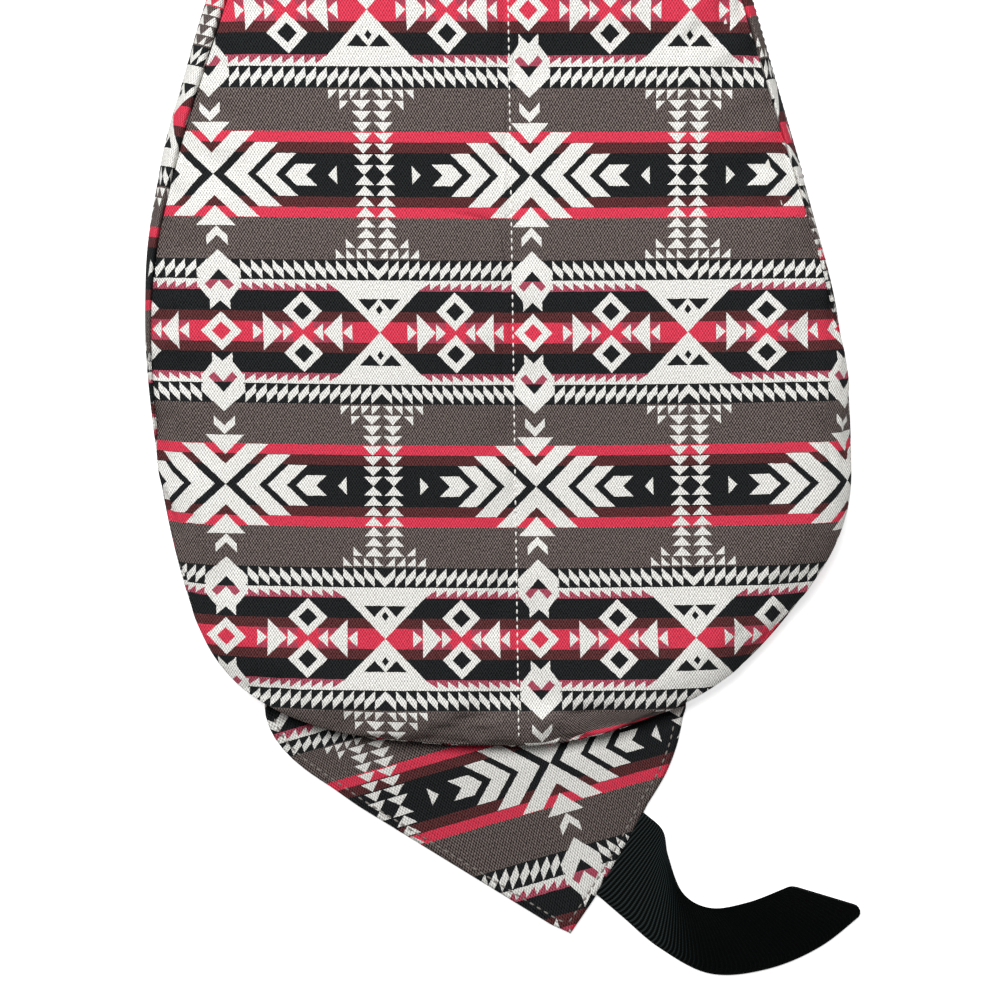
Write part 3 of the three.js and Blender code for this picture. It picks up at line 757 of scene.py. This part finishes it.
def new_material(name, colour, roughness, metallic=0.0):
    """A material of one colour, with its node tree and shader."""
    material = bpy.data.materials.new(name)
    material.use_nodes = True
    tree = material.node_tree
    shader = tree.nodes["Principled BSDF"]
    feed(shader, {"Base Color": colour, "Roughness": roughness, "Metallic": metallic})
    return material, tree, shader


def plain_material(name, colour, roughness, metallic=0.0):
    """A material of one colour, given as seen."""
    return new_material(name, linear(*colour), roughness, metallic)[0]


def add_group(tree, group, inputs):
    """A node that holds a group, with its inputs fed; gives back its outputs."""
    node = tree.nodes.new("ShaderNodeGroup")
    node.node_tree = group
    feed(node, inputs)
    return node.outputs


def place_node(tree):
    """The place in the print or weave."""
    node = tree.nodes.new("ShaderNodeUVMap")
    node.uv_map = "place"
    return node.outputs["UV"]


def lift(tree, shader, height, distance):
    """Bump from a height field."""
    bump = tree.nodes.new("ShaderNodeBump")
    feed(bump, {"Strength": LIFT_STRENGTH, "Distance": distance, "Height": height})
    feed(shader, {"Normal": bump.outputs["Normal"]})


print_group = banded_print()
weave_group = plain_weave()
rib_group = diagonal_ribs()


def canvas_material(name, shade):
    """""Printed canvas, darkened by shade; below 1, shade is painted shade."" """
    material, tree, shader = new_material(name, TAUPE, roughness=0.93)
    place = place_node(tree)
    pattern = add_group(tree, print_group, {"Place": place})
    threads = {"Place": place, "Color": pattern["Color"], "Fleck": pattern["Fleck"]}
    weave = add_group(tree, weave_group, threads)
    darkened = scaled(tree, weave["Color"], shade)
    feed(shader, {"Specular IOR Level": CANVAS_SHINE, "Base Color": darkened})
    lift(tree, shader, weave["Height"], CANVAS_LIFT)
    return material


def webbing_material():
    """""Black webbing with slanted ribs, painted crest highlights and painted shade past the bend."" """
    material, tree, shader = new_material("black_webbing", WEBBING_BLACK, roughness=0.6)
    ribs = add_group(tree, rib_group, {"Place": place_node(tree)})
    # The ramp runs from the grooves' dark colour up to a painted highlight on the rib crests.
    ramp = tree.nodes.new("ShaderNodeValToRGB")
    dark, light = ramp.color_ramp.elements
    dark.position = WEBBING_DARK_END
    dark.color = WEBBING_DARK
    light.color = WEBBING_PAINTED_HIGHLIGHT
    feed(ramp, {"Fac": ribs["Light"]})
    feed(shader, {"Specular IOR Level": WEBBING_SHINE, "Base Color": ramp.outputs["Color"]})
    lift(tree, shader, ribs["Height"], WEBBING_LIFT)
    return material


canvas = canvas_material("printed_canvas", 1.0)
# The tab's canvas carries painted shade: its colour is darkened in place of the shade it lies in.
tab_canvas_painted_shade = canvas_material("tab_canvas_painted_shade", TAB_PAINTED_SHADE)
webbing = webbing_material()
zip_tape = plain_material("zip_tape", (24, 26, 28), roughness=0.85)
zip_plastic = plain_material("zip_plastic", (30, 32, 34), roughness=0.4)
zip_metal = plain_material("zip_metal", (74, 76, 78), roughness=0.32, metallic=0.9)
foam_cloth = plain_material("padding_foam", (218, 215, 208), roughness=0.95)
lining_cloth = plain_material("lining_cloth", (44, 46, 48), roughness=0.85)
white_thread = plain_material("white_thread", (236, 234, 228), roughness=0.7)
black_thread = plain_material("black_thread", (40, 40, 42), roughness=0.7)
grey_thread = plain_material("grey_thread", (118, 112, 106), roughness=0.8)

for node, material in (("back_foam", foam_cloth), ("back_lining", lining_cloth)):
    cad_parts[node].data.materials.clear()
    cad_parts[node].data.materials.append(material)


# Back panel


def quilt_offset(points):
    """How far points lie beside the quilting line."""
    share = (points[..., 1] - QUILT_BOTTOM[1]) / (QUILT_TOP[1] - QUILT_BOTTOM[1])
    return points[..., 0] - (QUILT_BOTTOM[0] + (QUILT_TOP[0] - QUILT_BOTTOM[0]) * share)


def panel_heights(points, reach, rim_distance, along):
    """Heights of the padded back: crowned, rolled into a puckered seam and sewn along the quilting line."""
    height = edge_height(points[..., 1]) + crown * (1 - reach**2)
    nearness = np.clip(1 - rim_distance / RIM_WIDTH, 0, 1)
    height -= ((1 - roll) * RIM_ROLL + seam_drop) * (1 - np.sqrt(1 - nearness**2))
    calm = np.clip(rim_distance / PUCKER_REACH, 0, 1)
    height += RIPPLE * ripples(points, RIPPLE_SIZE, RIPPLE_SEED) * calm
    sway = PUCKER_SWAY * ripples(points, PUCKER_SWAY_SIZE, PUCKER_SEED)
    phase = along / PUCKER_PITCH * math.tau + sway
    height += PUCKER * np.sin(phase) * (1 - calm) * calm * 4
    height -= QUILT_DEPTH * np.exp(-((quilt_offset(points) / QUILT_WIDTH) ** 2))
    return height


def swell(points, middle):
    """How far the back's points move as cloth, held at its rim and along the quilting line, is filled."""
    start = points[::SWELL_RING_STEP, ::SWELL_STATION_STEP]
    trial = disc_piece("padding", start, middle, np.zeros((*start.shape[:2], 2)), (0, 0), foam_cloth)
    held = np.abs(quilt_offset(start)) < QUILT_WIDTH
    held[-1] = True
    trial.vertex_groups.new(name="held").add(np.flatnonzero(held).tolist(), 1.0, "REPLACE")
    cloth = trial.modifiers.new("Cloth", "CLOTH").settings
    cloth.vertex_group_mass = "held"
    cloth.use_pressure = True
    cloth.uniform_pressure_force = SWELL_PRESSURE
    cloth.effector_weights.gravity = 0
    cloth.shrink_min = -SWELL_SLACK
    for number in range(1, SWELL_FRAMES + 1):
        bpy.context.scene.frame_set(number)
    filled = trial.evaluated_get(bpy.context.evaluated_depsgraph_get()).data.vertices
    moves = np.array([vertex.co for vertex in filled])[:-1].reshape(start.shape) - start
    bpy.context.scene.frame_set(1)
    bpy.data.objects.remove(trial)
    size = np.linalg.norm(moves, axis=-1, keepdims=True)
    moves *= SWELL_CAP / np.maximum(size, SWELL_CAP)

    def finer(rings):
        lines = np.array([closed_line(ring, SWELL_STATION_STEP) for ring in rings])
        return open_line(lines, SWELL_RING_STEP)

    return finer(start + moves) - finer(start)


def laid_out(rings, first, away):
    """Points of closed rings, with those outside ring first laid out flat along the directions away."""
    flat = rings.copy()
    steps = np.linalg.norm(np.diff(rings[first:], axis=0), axis=-1)
    laid = rings[first] + np.cumsum(steps, axis=0)[..., None] * away
    flat[first + 1:] += (laid - rings[first + 1:]) * LAID_SHARES
    return flat


def edge_rows(points, rows):
    """Rows of the print, with the plain ones at the lower right edge drawn in to show a red band."""
    x = points[-1, :, 0]
    share = smooth_share(x, *EDGE_BAND_START) * (1 - smooth_share(x, *EDGE_BAND_END))
    depth = np.minimum(rows[-1] - EDGE_PLAIN_ROW, -EDGE_PLAIN_LEAST)
    way_out = np.clip((rows - EDGE_PLAIN_ROW) / depth, 0, 1)
    drawn = EDGE_PLAIN_ROW + (EDGE_BAND_ROW - EDGE_PLAIN_ROW) * way_out
    return np.where((way_out > 0) & (points[..., 1] < 0), rows + share * (drawn - rows), rows)


def back_panel():
    """Padded canvas of the back, from its middle out to its seam and tucked in under it."""
    rim_shares = 1 - np.sin(np.linspace(0, math.pi / 2, RIM_RINGS + 1))[1:]
    points, reach, rim_distance = rings_between(
        BACK_MIDDLE, seam_line[:, :2], PANEL_FIRST_RING, PANEL_RINGS, RIM_WIDTH, rim_shares
    )
    along = np.broadcast_to(lengths_along(seam_line), reach.shape)
    points[..., 2] = panel_heights(points, reach, rim_distance, along)
    middle = np.array((*BACK_MIDDLE, points[0, :, 2].mean()))
    points += swell(points, middle)
    middle[2] = points[0, :, 2].mean()
    tuck = points[-1:] - outward * RIM_TUCK[0]
    tuck[..., 2] -= RIM_TUCK[1]
    points = np.concatenate((points, tuck))
    away = points[-2] - points[0]
    away /= np.linalg.norm(away[:, :2], axis=1, keepdims=True)
    places = panel_places(laid_out(points, PANEL_RINGS - 1, away))
    places[..., 1] = edge_rows(points, places[..., 1])
    piece = disc_piece("back_canvas", points, middle, places, panel_places(middle), canvas)
    thicken(piece, PANEL_THICKNESS)
    dress(piece, ["back_panel"])
    return piece


def front_panel():
    """Flat canvas of the front, turned up at its edge."""
    edge_shares, edge_heights = np.array(FRONT_EDGE).T
    shares = np.concatenate((np.linspace(*FRONT_RING_SHARES, FRONT_RINGS), edge_shares))
    heights = np.concatenate((np.zeros(FRONT_RINGS), edge_heights))
    points = np.zeros((len(shares), STATIONS, 3))
    points[..., :2] = BACK_MIDDLE + shares[:, None, None] * (front_line[:, :2] - BACK_MIDDLE)
    points[..., 2] = heights[:, None]
    middle = np.array((*BACK_MIDDLE, 0.0))
    piece = disc_piece(
        "front_canvas", points, middle, panel_places(points), panel_places(middle), canvas, flip=True
    )
    thicken(piece, PANEL_THICKNESS)
    dress(piece, ["front_panel"])
    area_inside(front_line)


# Side strips


def section_point(stations, out, inward, height):
    """One point of the side's section at each station."""
    out = out - TUCK * roll[stations] * inward
    points = front_line[stations] + outward[stations] * np.reshape(out, (-1, 1))
    points = points + inward * (seam_line[stations] - widest_line[stations])
    points[:, 2] = height
    return points


def row_zero(stations, on_left):
    """How far along the outline, from the first of stations, the print's row 0 of that side lies."""
    level = STRIP_LEFT_ROW_Y if on_left else STRIP_RIGHT_ROW_Y
    on_side = (front_line[:, 0] < 0) == on_left
    zero = np.argmin(np.where(on_side, np.abs(front_line[:, 1] - level), np.inf))
    run = lengths_along(np.concatenate((widest_line, widest_line[:1])))
    half = run[-1] / 2
    return (run[zero] - run[stations[0]] + half) % run[-1] - half


def side_strip(name, node, stations, section, on_left=False, shift=0):
    """A strip of the side over some stations; section gives its points from the front up to the back."""
    controls = np.array([section_point(stations, *values) for values in section])
    points = open_line(controls, STRIP_STEPS)
    share = np.linspace(0, 1, len(points))[:, None]
    bulge = STRIP_RIPPLE * ripples(points, STRIP_RIPPLE_SIZE, STRIP_RIPPLE_SEED)
    bulge *= np.sin(share * math.pi) ** 2
    points += outward[stations] * bulge[..., None]
    along = lengths_along(widest_line[stations])
    across = lengths_along(points)
    rows = (along - row_zero(stations, on_left)) / PRINT_UNIT
    columns = (across[-1 - HIDDEN_STEPS] - across) / PRINT_UNIT
    if on_left:
        columns = STRIP_LEFT_COLUMN + STRIP_LEFT_LEAN * rows - columns
    else:
        rows /= STRIP_RIGHT_STRETCH
        columns = STRIP_RIGHT_COLUMN + STRIP_RIGHT_LEAN * rows + columns + shift
    places = np.stack((columns, np.broadcast_to(rows, columns.shape)), axis=-1)
    faces = grid_faces(*points.shape[:2], flip=True)
    piece = mesh_piece(name, points.reshape(-1, 3), faces, places.reshape(-1, 2), canvas)
    thicken(piece, STRIP_THICKNESS)
    dress(piece, [node])
    return piece


def side_strips():
    """All strips of the side; gives back the two beside the zip, and their stations."""
    tops = seam_line[:, 2] - seam_drop
    right = front_line[:, 0] > 0
    low_corner, high_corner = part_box("zip_gusset_back")
    zip_first = np.flatnonzero(right & (front_line[:, 1] > low_corner.y))[0]
    zip_last = np.flatnonzero(right & (front_line[:, 1] < high_corner.y))[-1]
    meeting_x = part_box("gusset_right")[0].x
    bottom = np.argmin(np.abs(front_line[:, 0] - meeting_x) + np.abs(front_line[:, 1] - bottom_y))
    ranges = {
        "right": np.arange(bottom, zip_first + 1),
        "zip": np.arange(zip_first, zip_last + 1),
        "left": np.arange(zip_last, bottom + STATIONS + 1) % STATIONS,
    }

    foot = [(out, 0.0, height) for out, height in FOOT]

    def raised(shape, stations):
        span = tops[stations] - STRIP_FOOT_TOP
        return [(out, inward, STRIP_FOOT_TOP + share * span) for out, inward, share in shape]

    def slot(shape, level):
        return [(out, 0.0, level + height) for out, height in shape]

    for name in ("right", "left"):
        stations = ranges[name]
        section = foot + raised(BELLY + SHOULDER, stations)
        side_strip(f"side_canvas_{name}", f"gusset_{name}", stations, section, name == "left")
    stations = ranges["zip"]
    front_section = foot + raised(BELLY[:1], stations) + slot(SLOT_LOW, ZIP_Z - ZIP_SLOT_HALF)
    back_section = slot(SLOT_HIGH, ZIP_Z + ZIP_SLOT_HALF) + raised(SHOULDER, stations)
    zip_front = side_strip(
        "zip_canvas_front", "zip_gusset_front", stations, front_section, shift=ZIP_FRONT_SHIFT
    )
    zip_back = side_strip("zip_canvas_back", "zip_gusset_back", stations, back_section)
    return (zip_front, zip_back), stations


# Tab at the bottom


def eased_out(rim):
    """How far the tab's canvas eases out along its lower left edge and its right edge."""
    x, y = rim.T
    left = smooth_share(x[np.argmin(y)] - x, 0, TAB_EASE_TIP)
    left *= 1 - smooth_share(y, *TAB_EASE_LEFT_Y)
    low, high = TAB_EASE_RIGHT_Y
    right = np.sin(np.clip((y - low) / (high - low), 0, 1) * math.pi) * (x > 0)
    return left[:, None] * TAB_EASE_LEFT + right[:, None] * TAB_EASE_RIGHT


def tab_outline():
    """The tab's outline, counter-clockwise round its middle, and that middle."""
    points = node_points("wing_bottom")
    points = np.unique(points[:, :2].round(6), axis=0)
    middle = (points.min(axis=0) + points.max(axis=0)) / 2
    offsets = points - middle
    points = points[np.argsort(np.arctan2(offsets[:, 1], offsets[:, 0]))]
    rim = evenly((points,), STATIONS)[0]
    return rim + eased_out(rim), middle


def tab_places(points):
    """Places in the print for points of the tab, which lies turned and has drifted."""
    offset = points[..., :2] - TAB_PRINT_PLACE
    cosine, sine = math.cos(TAB_PRINT_TURN), math.sin(TAB_PRINT_TURN)
    column = offset[..., 0] * cosine + offset[..., 1] * sine
    row = offset[..., 1] * cosine - offset[..., 0] * sine
    u, v = column / TAB_DRIFT_SIZE, row / TAB_DRIFT_SIZE
    sideways = -0.1 - 0.2 * u + 2 * v + 2.6 * u**2 - 0.7 * u * v + 0.6 * v**2
    sideways -= 10 * np.clip(-1.35 - u, 0, 0.6)
    along = 1.4 + 0.45 * u - 0.1 * v + 0.25 * u**2 + 0.5 * u * v
    along += 3.8 * np.minimum(v, 0.75) ** 2 + 14 * np.clip(v - 0.5, 0, 0.2)
    return np.stack((column + sideways * MM, row + along * MM), axis=-1) / PRINT_UNIT


def to_body(points):
    """How far points lie from the bag's widest line."""
    flat = points.reshape(-1, points.shape[-1])[:, None, :2]
    nearest = np.linalg.norm(flat - widest_line[None, :, :2], axis=-1).min(axis=1)
    return nearest.reshape(points.shape[:-1])


def tab_layers():
    """The two canvas layers of the tab; gives back the upper one and the outline."""
    rim, middle = tab_outline()
    edge_shares = (1 - np.linspace(0, 1, TAB_EDGE_RINGS)[1:]) ** TAB_EDGE_CROWDING
    points, _, distance = rings_between(middle, rim, TAB_FIRST_RING, TAB_RINGS, TAB_EDGE, edge_shares)
    rounding = np.clip(distance / TAB_EDGE_ROUND, 0, 1)
    height = TAB_TOP_LOW + (TAB_HEIGHT - TAB_TOP_LOW) * np.sqrt(1 - (1 - rounding) ** 2)
    groove = (distance - TAB_STITCH_INSET) / TAB_STITCH_WIDTH
    height -= TAB_STITCH_DEPTH * np.exp(-(groove**2))
    height += TAB_RIPPLE * ripples(points, TAB_RIPPLE_SIZE, TAB_RIPPLE_SEED) * rounding
    dip = TAB_DIP * (1 - smooth_share(to_body(points), 0, TAB_DIP_REACH)) * rounding
    points[..., 2] = height - dip

    under = points[::TAB_UNDER_RING_STEP].copy()
    under[-1] = points[-1]
    under[..., 2] = 0.0
    under[-2:, :, 2] = TAB_UNDER_EDGE[:, None]

    area = area_inside(rim)

    def layer(name, node, other, rings, centre_height, flip=False):
        centre = np.array((*middle, centre_height))
        places = tab_places(rings)
        piece = disc_piece(name, rings, centre, places, tab_places(centre), tab_canvas_painted_shade, flip=flip)
        thicken(piece, TAB_THICKNESS)
        dress(piece, [node])
        return piece

    upper = layer("tab_canvas_upper", "wing_top", "wing_bottom", points, points[0, :, 2].mean())
    layer("tab_canvas_lower", "wing_bottom", "wing_top", under, 0.0, flip=True)
    return upper, rim


# Webbing


def strap(name, near, far, rise, corners=(0.0, 0.0)):
    """Webbing between two edge lines, with rounded selvedges; rise is its thickness at each ruling.

    The two corners of its far end are rounded by corners.
    """
    width = np.linalg.norm(far - near, axis=1).mean()
    middle_run = lengths_along((near + far) / 2)
    middle_shares = np.linspace(*STRAP_SHARES, STRAP_ROWS)
    shares = np.concatenate((SELVEDGE_SHARES, middle_shares, 1 - SELVEDGE_SHARES[::-1]))
    side = np.abs(2 * shares - 1)
    corner = np.where(shares < 0.5, *corners)
    into_selvedge = np.clip(side - (1 - SELVEDGE_ROUND), 0, SELVEDGE_ROUND) / SELVEDGE_ROUND
    fullness = np.sqrt(1 - into_selvedge**2)
    into_corner = np.clip(side - (1 - 2 * corner / width), 0, None) * width / 2
    cut_back = corner - np.sqrt(np.clip(corner**2 - into_corner**2, 0, None))
    order = [*range(len(shares)), *range(len(shares) - 2, 0, -1)]
    rows = []
    for place, k in enumerate(order):
        sign = 1 if place < len(shares) else -1
        line = near + (far - near) * shares[k] + rise / 2 * (1 + sign * fullness[k])
        spots = middle_run * (1 - cut_back[k] / middle_run[-1])
        rows.append(points_at(line, middle_run, spots))
    points = np.array(rows)
    rows, columns = points.shape[:2]
    over, along = np.broadcast_arrays((shares[order] * width)[:, None], middle_run)
    places = np.stack((over, along), axis=-1) / MM
    faces = []
    for row in range(rows):
        after = (row + 1) % rows
        for column in range(columns - 1):
            low = row * columns + column
            high = after * columns + column
            faces.append([low, low + 1, high + 1, high])
    faces.append([row * columns for row in range(rows)])
    faces.append([row * columns + columns - 1 for row in range(rows - 1, -1, -1)])
    piece = mesh_piece(name, points.reshape(-1, 3), faces, places.reshape(-1, 2), webbing)
    return piece, (float(width), float(middle_run[-1]))


def webbing_tail():
    """Black webbing from inside the tab to its free end."""
    edges = open_line(np.array(WEBBING_RUN, dtype=float) * MM, WEBBING_STEPS)
    cosine, sine = math.cos(WEBBING_HEADING), math.sin(WEBBING_HEADING)
    turn_matrix = np.array(((cosine, sine, 0), (-sine, cosine, 0), (0, 0, 1)))
    near, far = np.moveaxis(edges @ turn_matrix + np.array(WEBBING_EXIT), 1, 0)
    rise = np.cross(far - near, np.gradient((near + far) / 2, axis=0))
    rise *= WEBBING_THICKNESS / np.linalg.norm(rise, axis=1, keepdims=True)
    piece, flat = strap("webbing_strap", near, far, rise, WEBBING_CORNERS)
    dress(piece, ["webbing_tail"])


def rope_loop():
    """Webbing loop at the top, open sideways."""
    half = (LOOP_GAP + LOOP_THICKNESS) / 2
    turn_y = LOOP_REACH - half - LOOP_THICKNESS / 2
    arc = np.linspace(0, math.pi, LOOP_BOW_POINTS)
    bow = np.stack((-half * np.cos(arc), turn_y + half * np.sin(arc)), axis=1)
    path = np.array(((-half, 0.0), (-half, turn_y / 2), *bow, (half, turn_y / 2), (half, 0.0)))
    run = np.gradient(path, axis=0)
    run /= np.linalg.norm(run, axis=1, keepdims=True)
    normal = np.stack((np.zeros(len(path)), run[:, 0], -run[:, 1]), axis=1)
    line = np.stack((np.zeros(len(path)), path[:, 1], path[:, 0]), axis=1) + np.array(LOOP_PLACE)
    near = line - normal * LOOP_THICKNESS / 2
    near[:, 0] -= LOOP_WIDTH / 2
    far = near.copy()
    far[:, 0] += LOOP_WIDTH
    piece, flat = strap("loop_strap", near, far, normal * LOOP_THICKNESS)
    dress(piece, ["rope_loop"])


# Sewing


def on_surface(piece, starts, ways):
    """Points of a piece's surface that are met from starts along ways."""
    mesh = piece.data
    corners = [vertex.co for vertex in mesh.vertices]
    tree = BVHTree.FromPolygons(corners, [list(face.vertices) for face in mesh.polygons])
    hits = [tree.ray_cast(Vector(start), Vector(way))[0] for start, way in zip(starts, ways)]
    return np.array([hit for hit in hits if hit is not None])


def from_above(piece, places):
    """Points of a piece's upper face at places."""
    starts = np.concatenate((places, np.ones((len(places), 1))), axis=1)
    return on_surface(piece, starts, [(0, 0, -1)] * len(places))


def stitches(name, line, normal, pitch, material, thread=THREAD_RADIUS):
    """A row of thread stitches along a line of points on a surface with one normal."""
    run = lengths_along(line)
    up = Vector(normal).normalized()
    shares = np.linspace(0, 1, STITCH_RINGS)
    points = []
    faces = []
    for start in np.arange(0, run[-1] - pitch, pitch):
        spots = start + shares * pitch * STITCH_SHARE
        places = [Vector(point) for point in points_at(line, run, spots)]
        beside = (places[-1] - places[0]).cross(up).normalized()
        first = len(points)
        for share, place in zip(shares, places):
            bow = math.sin(math.pi * share) ** 0.5
            radius = thread * (STITCH_END + (1 - STITCH_END) * bow)
            centre = place + up * (thread * (STITCH_RISE * bow - STITCH_SINK))
            for angle in np.arange(STITCH_SIDES) * math.tau / STITCH_SIDES:
                spoke = beside * (radius * math.cos(angle)) + up * (radius * math.sin(angle))
                points.append(centre + spoke)
        for ring in range(len(shares) - 1):
            low = first + ring * STITCH_SIDES
            for side in range(STITCH_SIDES):
                after = (side + 1) % STITCH_SIDES
                high = low + STITCH_SIDES
                faces.append([low + after, low + side, high + side, high + after])
        faces.append([first + side for side in range(STITCH_SIDES)])
        faces.append([len(points) - 1 - side for side in range(STITCH_SIDES)])
    piece = mesh_piece(name, points, faces, np.zeros((len(points), 2)), material)
    dress(piece)


def straight(start, end, count):
    """Points on a straight line from start to end."""
    shares = np.linspace(0, 1, count)[:, None]
    return start + shares * (end - start)


def tab_stitches(tab, rim):
    """Topstitching inside the two free edges of the tab."""
    run = directions(rim)
    inside = rim + np.stack((-run[:, 1], run[:, 0]), axis=1) * TAB_STITCH_INSET
    tip = np.argmin(rim[:, 1])
    free = to_body(rim) > 2 * LIP
    half = len(rim) // 2
    sides = {
        "left": np.arange(tip - half, tip - TAB_TIP_FREE + 1) % len(rim),
        "right": np.arange(tip + TAB_TIP_FREE, tip + half) % len(rim),
    }
    for name, side in sides.items():
        line = from_above(tab, inside[side[free[side]]])
        stitches(f"tab_stitches_{name}", line, (0, 0, 1), TAB_STITCH, grey_thread)


def zip_stitches(strips, stations):
    """Topstitching beside the zip, on the two strips that hold it."""
    ways = -outward[stations]
    for strip, side in zip(strips, (-1, 1)):
        starts = front_line[stations] - ways * ZIP_STITCH_START
        starts[:, 2] = ZIP_Z + side * (ZIP_SLOT_HALF + ZIP_STITCH_INSET)
        line = on_surface(strip, starts, ways)
        normal = outward[stations].mean(axis=0)
        stitches(f"{strip.name}_stitches", line, normal, ZIP_STITCH, black_thread, ZIP_THREAD_RADIUS)


# Zip hardware


def rounded_copy(name, node, material, width, body="bag"):
    """A copy of a CAD node with its edges rounded."""
    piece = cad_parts[node].copy()
    piece.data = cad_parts[node].data.copy()
    piece.name = name
    for key in list(piece.keys()):
        if key.startswith("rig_"):
            del piece[key]
    piece.parent = None
    bpy.context.scene.collection.objects.link(piece)
    piece.data.materials.clear()
    piece.data.materials.append(material)
    select_only(piece)
    bpy.ops.object.mode_set(mode="EDIT")
    bpy.ops.mesh.select_all(action="SELECT")
    bpy.ops.mesh.remove_doubles(threshold=MERGE_DISTANCE)
    bpy.ops.mesh.dissolve_limited(angle_limit=FLAT_ANGLE)
    bpy.ops.object.mode_set(mode="OBJECT")
    apply_modifier(
        piece, "BEVEL", width=width, segments=ROUND_SEGMENTS, limit_method="ANGLE", angle_limit=EDGE_ANGLE
    )
    bpy.ops.object.shade_smooth_by_angle(angle=EDGE_ANGLE)
    dress(piece, [node], body)


# Assembly

back = back_panel()
front_panel()
zip_strips, zip_stations = side_strips()
tab, tab_rim = tab_layers()
webbing_tail()
rope_loop()
quilt_line = from_above(back, straight(QUILT_TOP, QUILT_BOTTOM, QUILT_POINTS))
stitches("quilting", quilt_line, (0, 0, 1), QUILT_STITCH, white_thread)
tab_stitches(tab, tab_rim)
zip_stitches(zip_strips, zip_stations)

for half in ("back", "front"):
    rounded_copy(f"tape_{half}", f"zip_tape_{half}", zip_tape, TAPE_ROUND)
    rounded_copy(f"teeth_{half}", f"zip_teeth_{half}", zip_plastic, TEETH_ROUND)
    rounded_copy(f"top_stop_{half}", f"zip_top_stop_{half}", zip_metal, TOP_STOP_ROUND)
rounded_copy("bottom_stop", "zip_bottom_stop", zip_metal, BOTTOM_STOP_ROUND)
rounded_copy("slider_body", "zip_slider", zip_metal, SLIDER_ROUND, "slider")
rounded_copy("pull_tab", "zip_pull", zip_metal, PULL_ROUND, "pull")


# Floor, light and camera


def studio():
    """A pale floor, one large soft light, and the camera above."""
    bpy.ops.mesh.primitive_plane_add(size=FLOOR_SIZE, location=(0, 0, 0))
    floor = bpy.context.object
    floor.name = "floor"
    material, tree, shader = new_material("floor", FLOOR_PALE, roughness=0.9)
    glow = tree.nodes.new("ShaderNodeEmission")
    feed(glow, {"Strength": FLOOR_GLOW})
    both = tree.nodes.new("ShaderNodeAddShader")
    feed(both, {0: shader.outputs[0], 1: glow.outputs[0]})
    path = tree.nodes.new("ShaderNodeLightPath")
    seen = Field(tree, path.outputs["Is Camera Ray"]) | Field(tree, path.outputs["Is Glossy Ray"])
    mix = tree.nodes.new("ShaderNodeMixShader")
    feed(mix, {0: seen, 1: shader.outputs[0], 2: both.outputs[0]})
    feed(tree.nodes["Material Output"], {"Surface": mix.outputs[0]})
    floor.data.materials.append(material)

    world = bpy.data.worlds.new("studio")
    world.use_nodes = True
    background = world.node_tree.nodes["Background"]
    feed(background, {"Color": (1, 1, 1, 1), "Strength": WORLD_LIGHT})
    bpy.context.scene.world = world

    lamp = bpy.data.lights.new("softbox", "AREA")
    lamp.shape = "DISK"
    lamp.size = SOFTBOX_SIZE
    lamp.energy = SOFTBOX_POWER
    softbox = in_scene("softbox", lamp)
    softbox.location = SOFTBOX_PLACE
    softbox.rotation_euler = softbox.location.to_track_quat("Z", "Y").to_euler()

    camera = bpy.data.cameras.new("camera")
    camera.sensor_width = SENSOR
    camera.lens = SENSOR * (CAMERA_HEIGHT - PHOTO_LEVEL) / PHOTO_WIDTH
    camera.clip_end = CAMERA_REACH
    viewer = in_scene("camera", camera)
    viewer.location = (*PHOTO_MIDDLE, CAMERA_HEIGHT)
    bpy.context.scene.camera = viewer
    bpy.context.scene.view_settings.view_transform = "Standard"


studio()
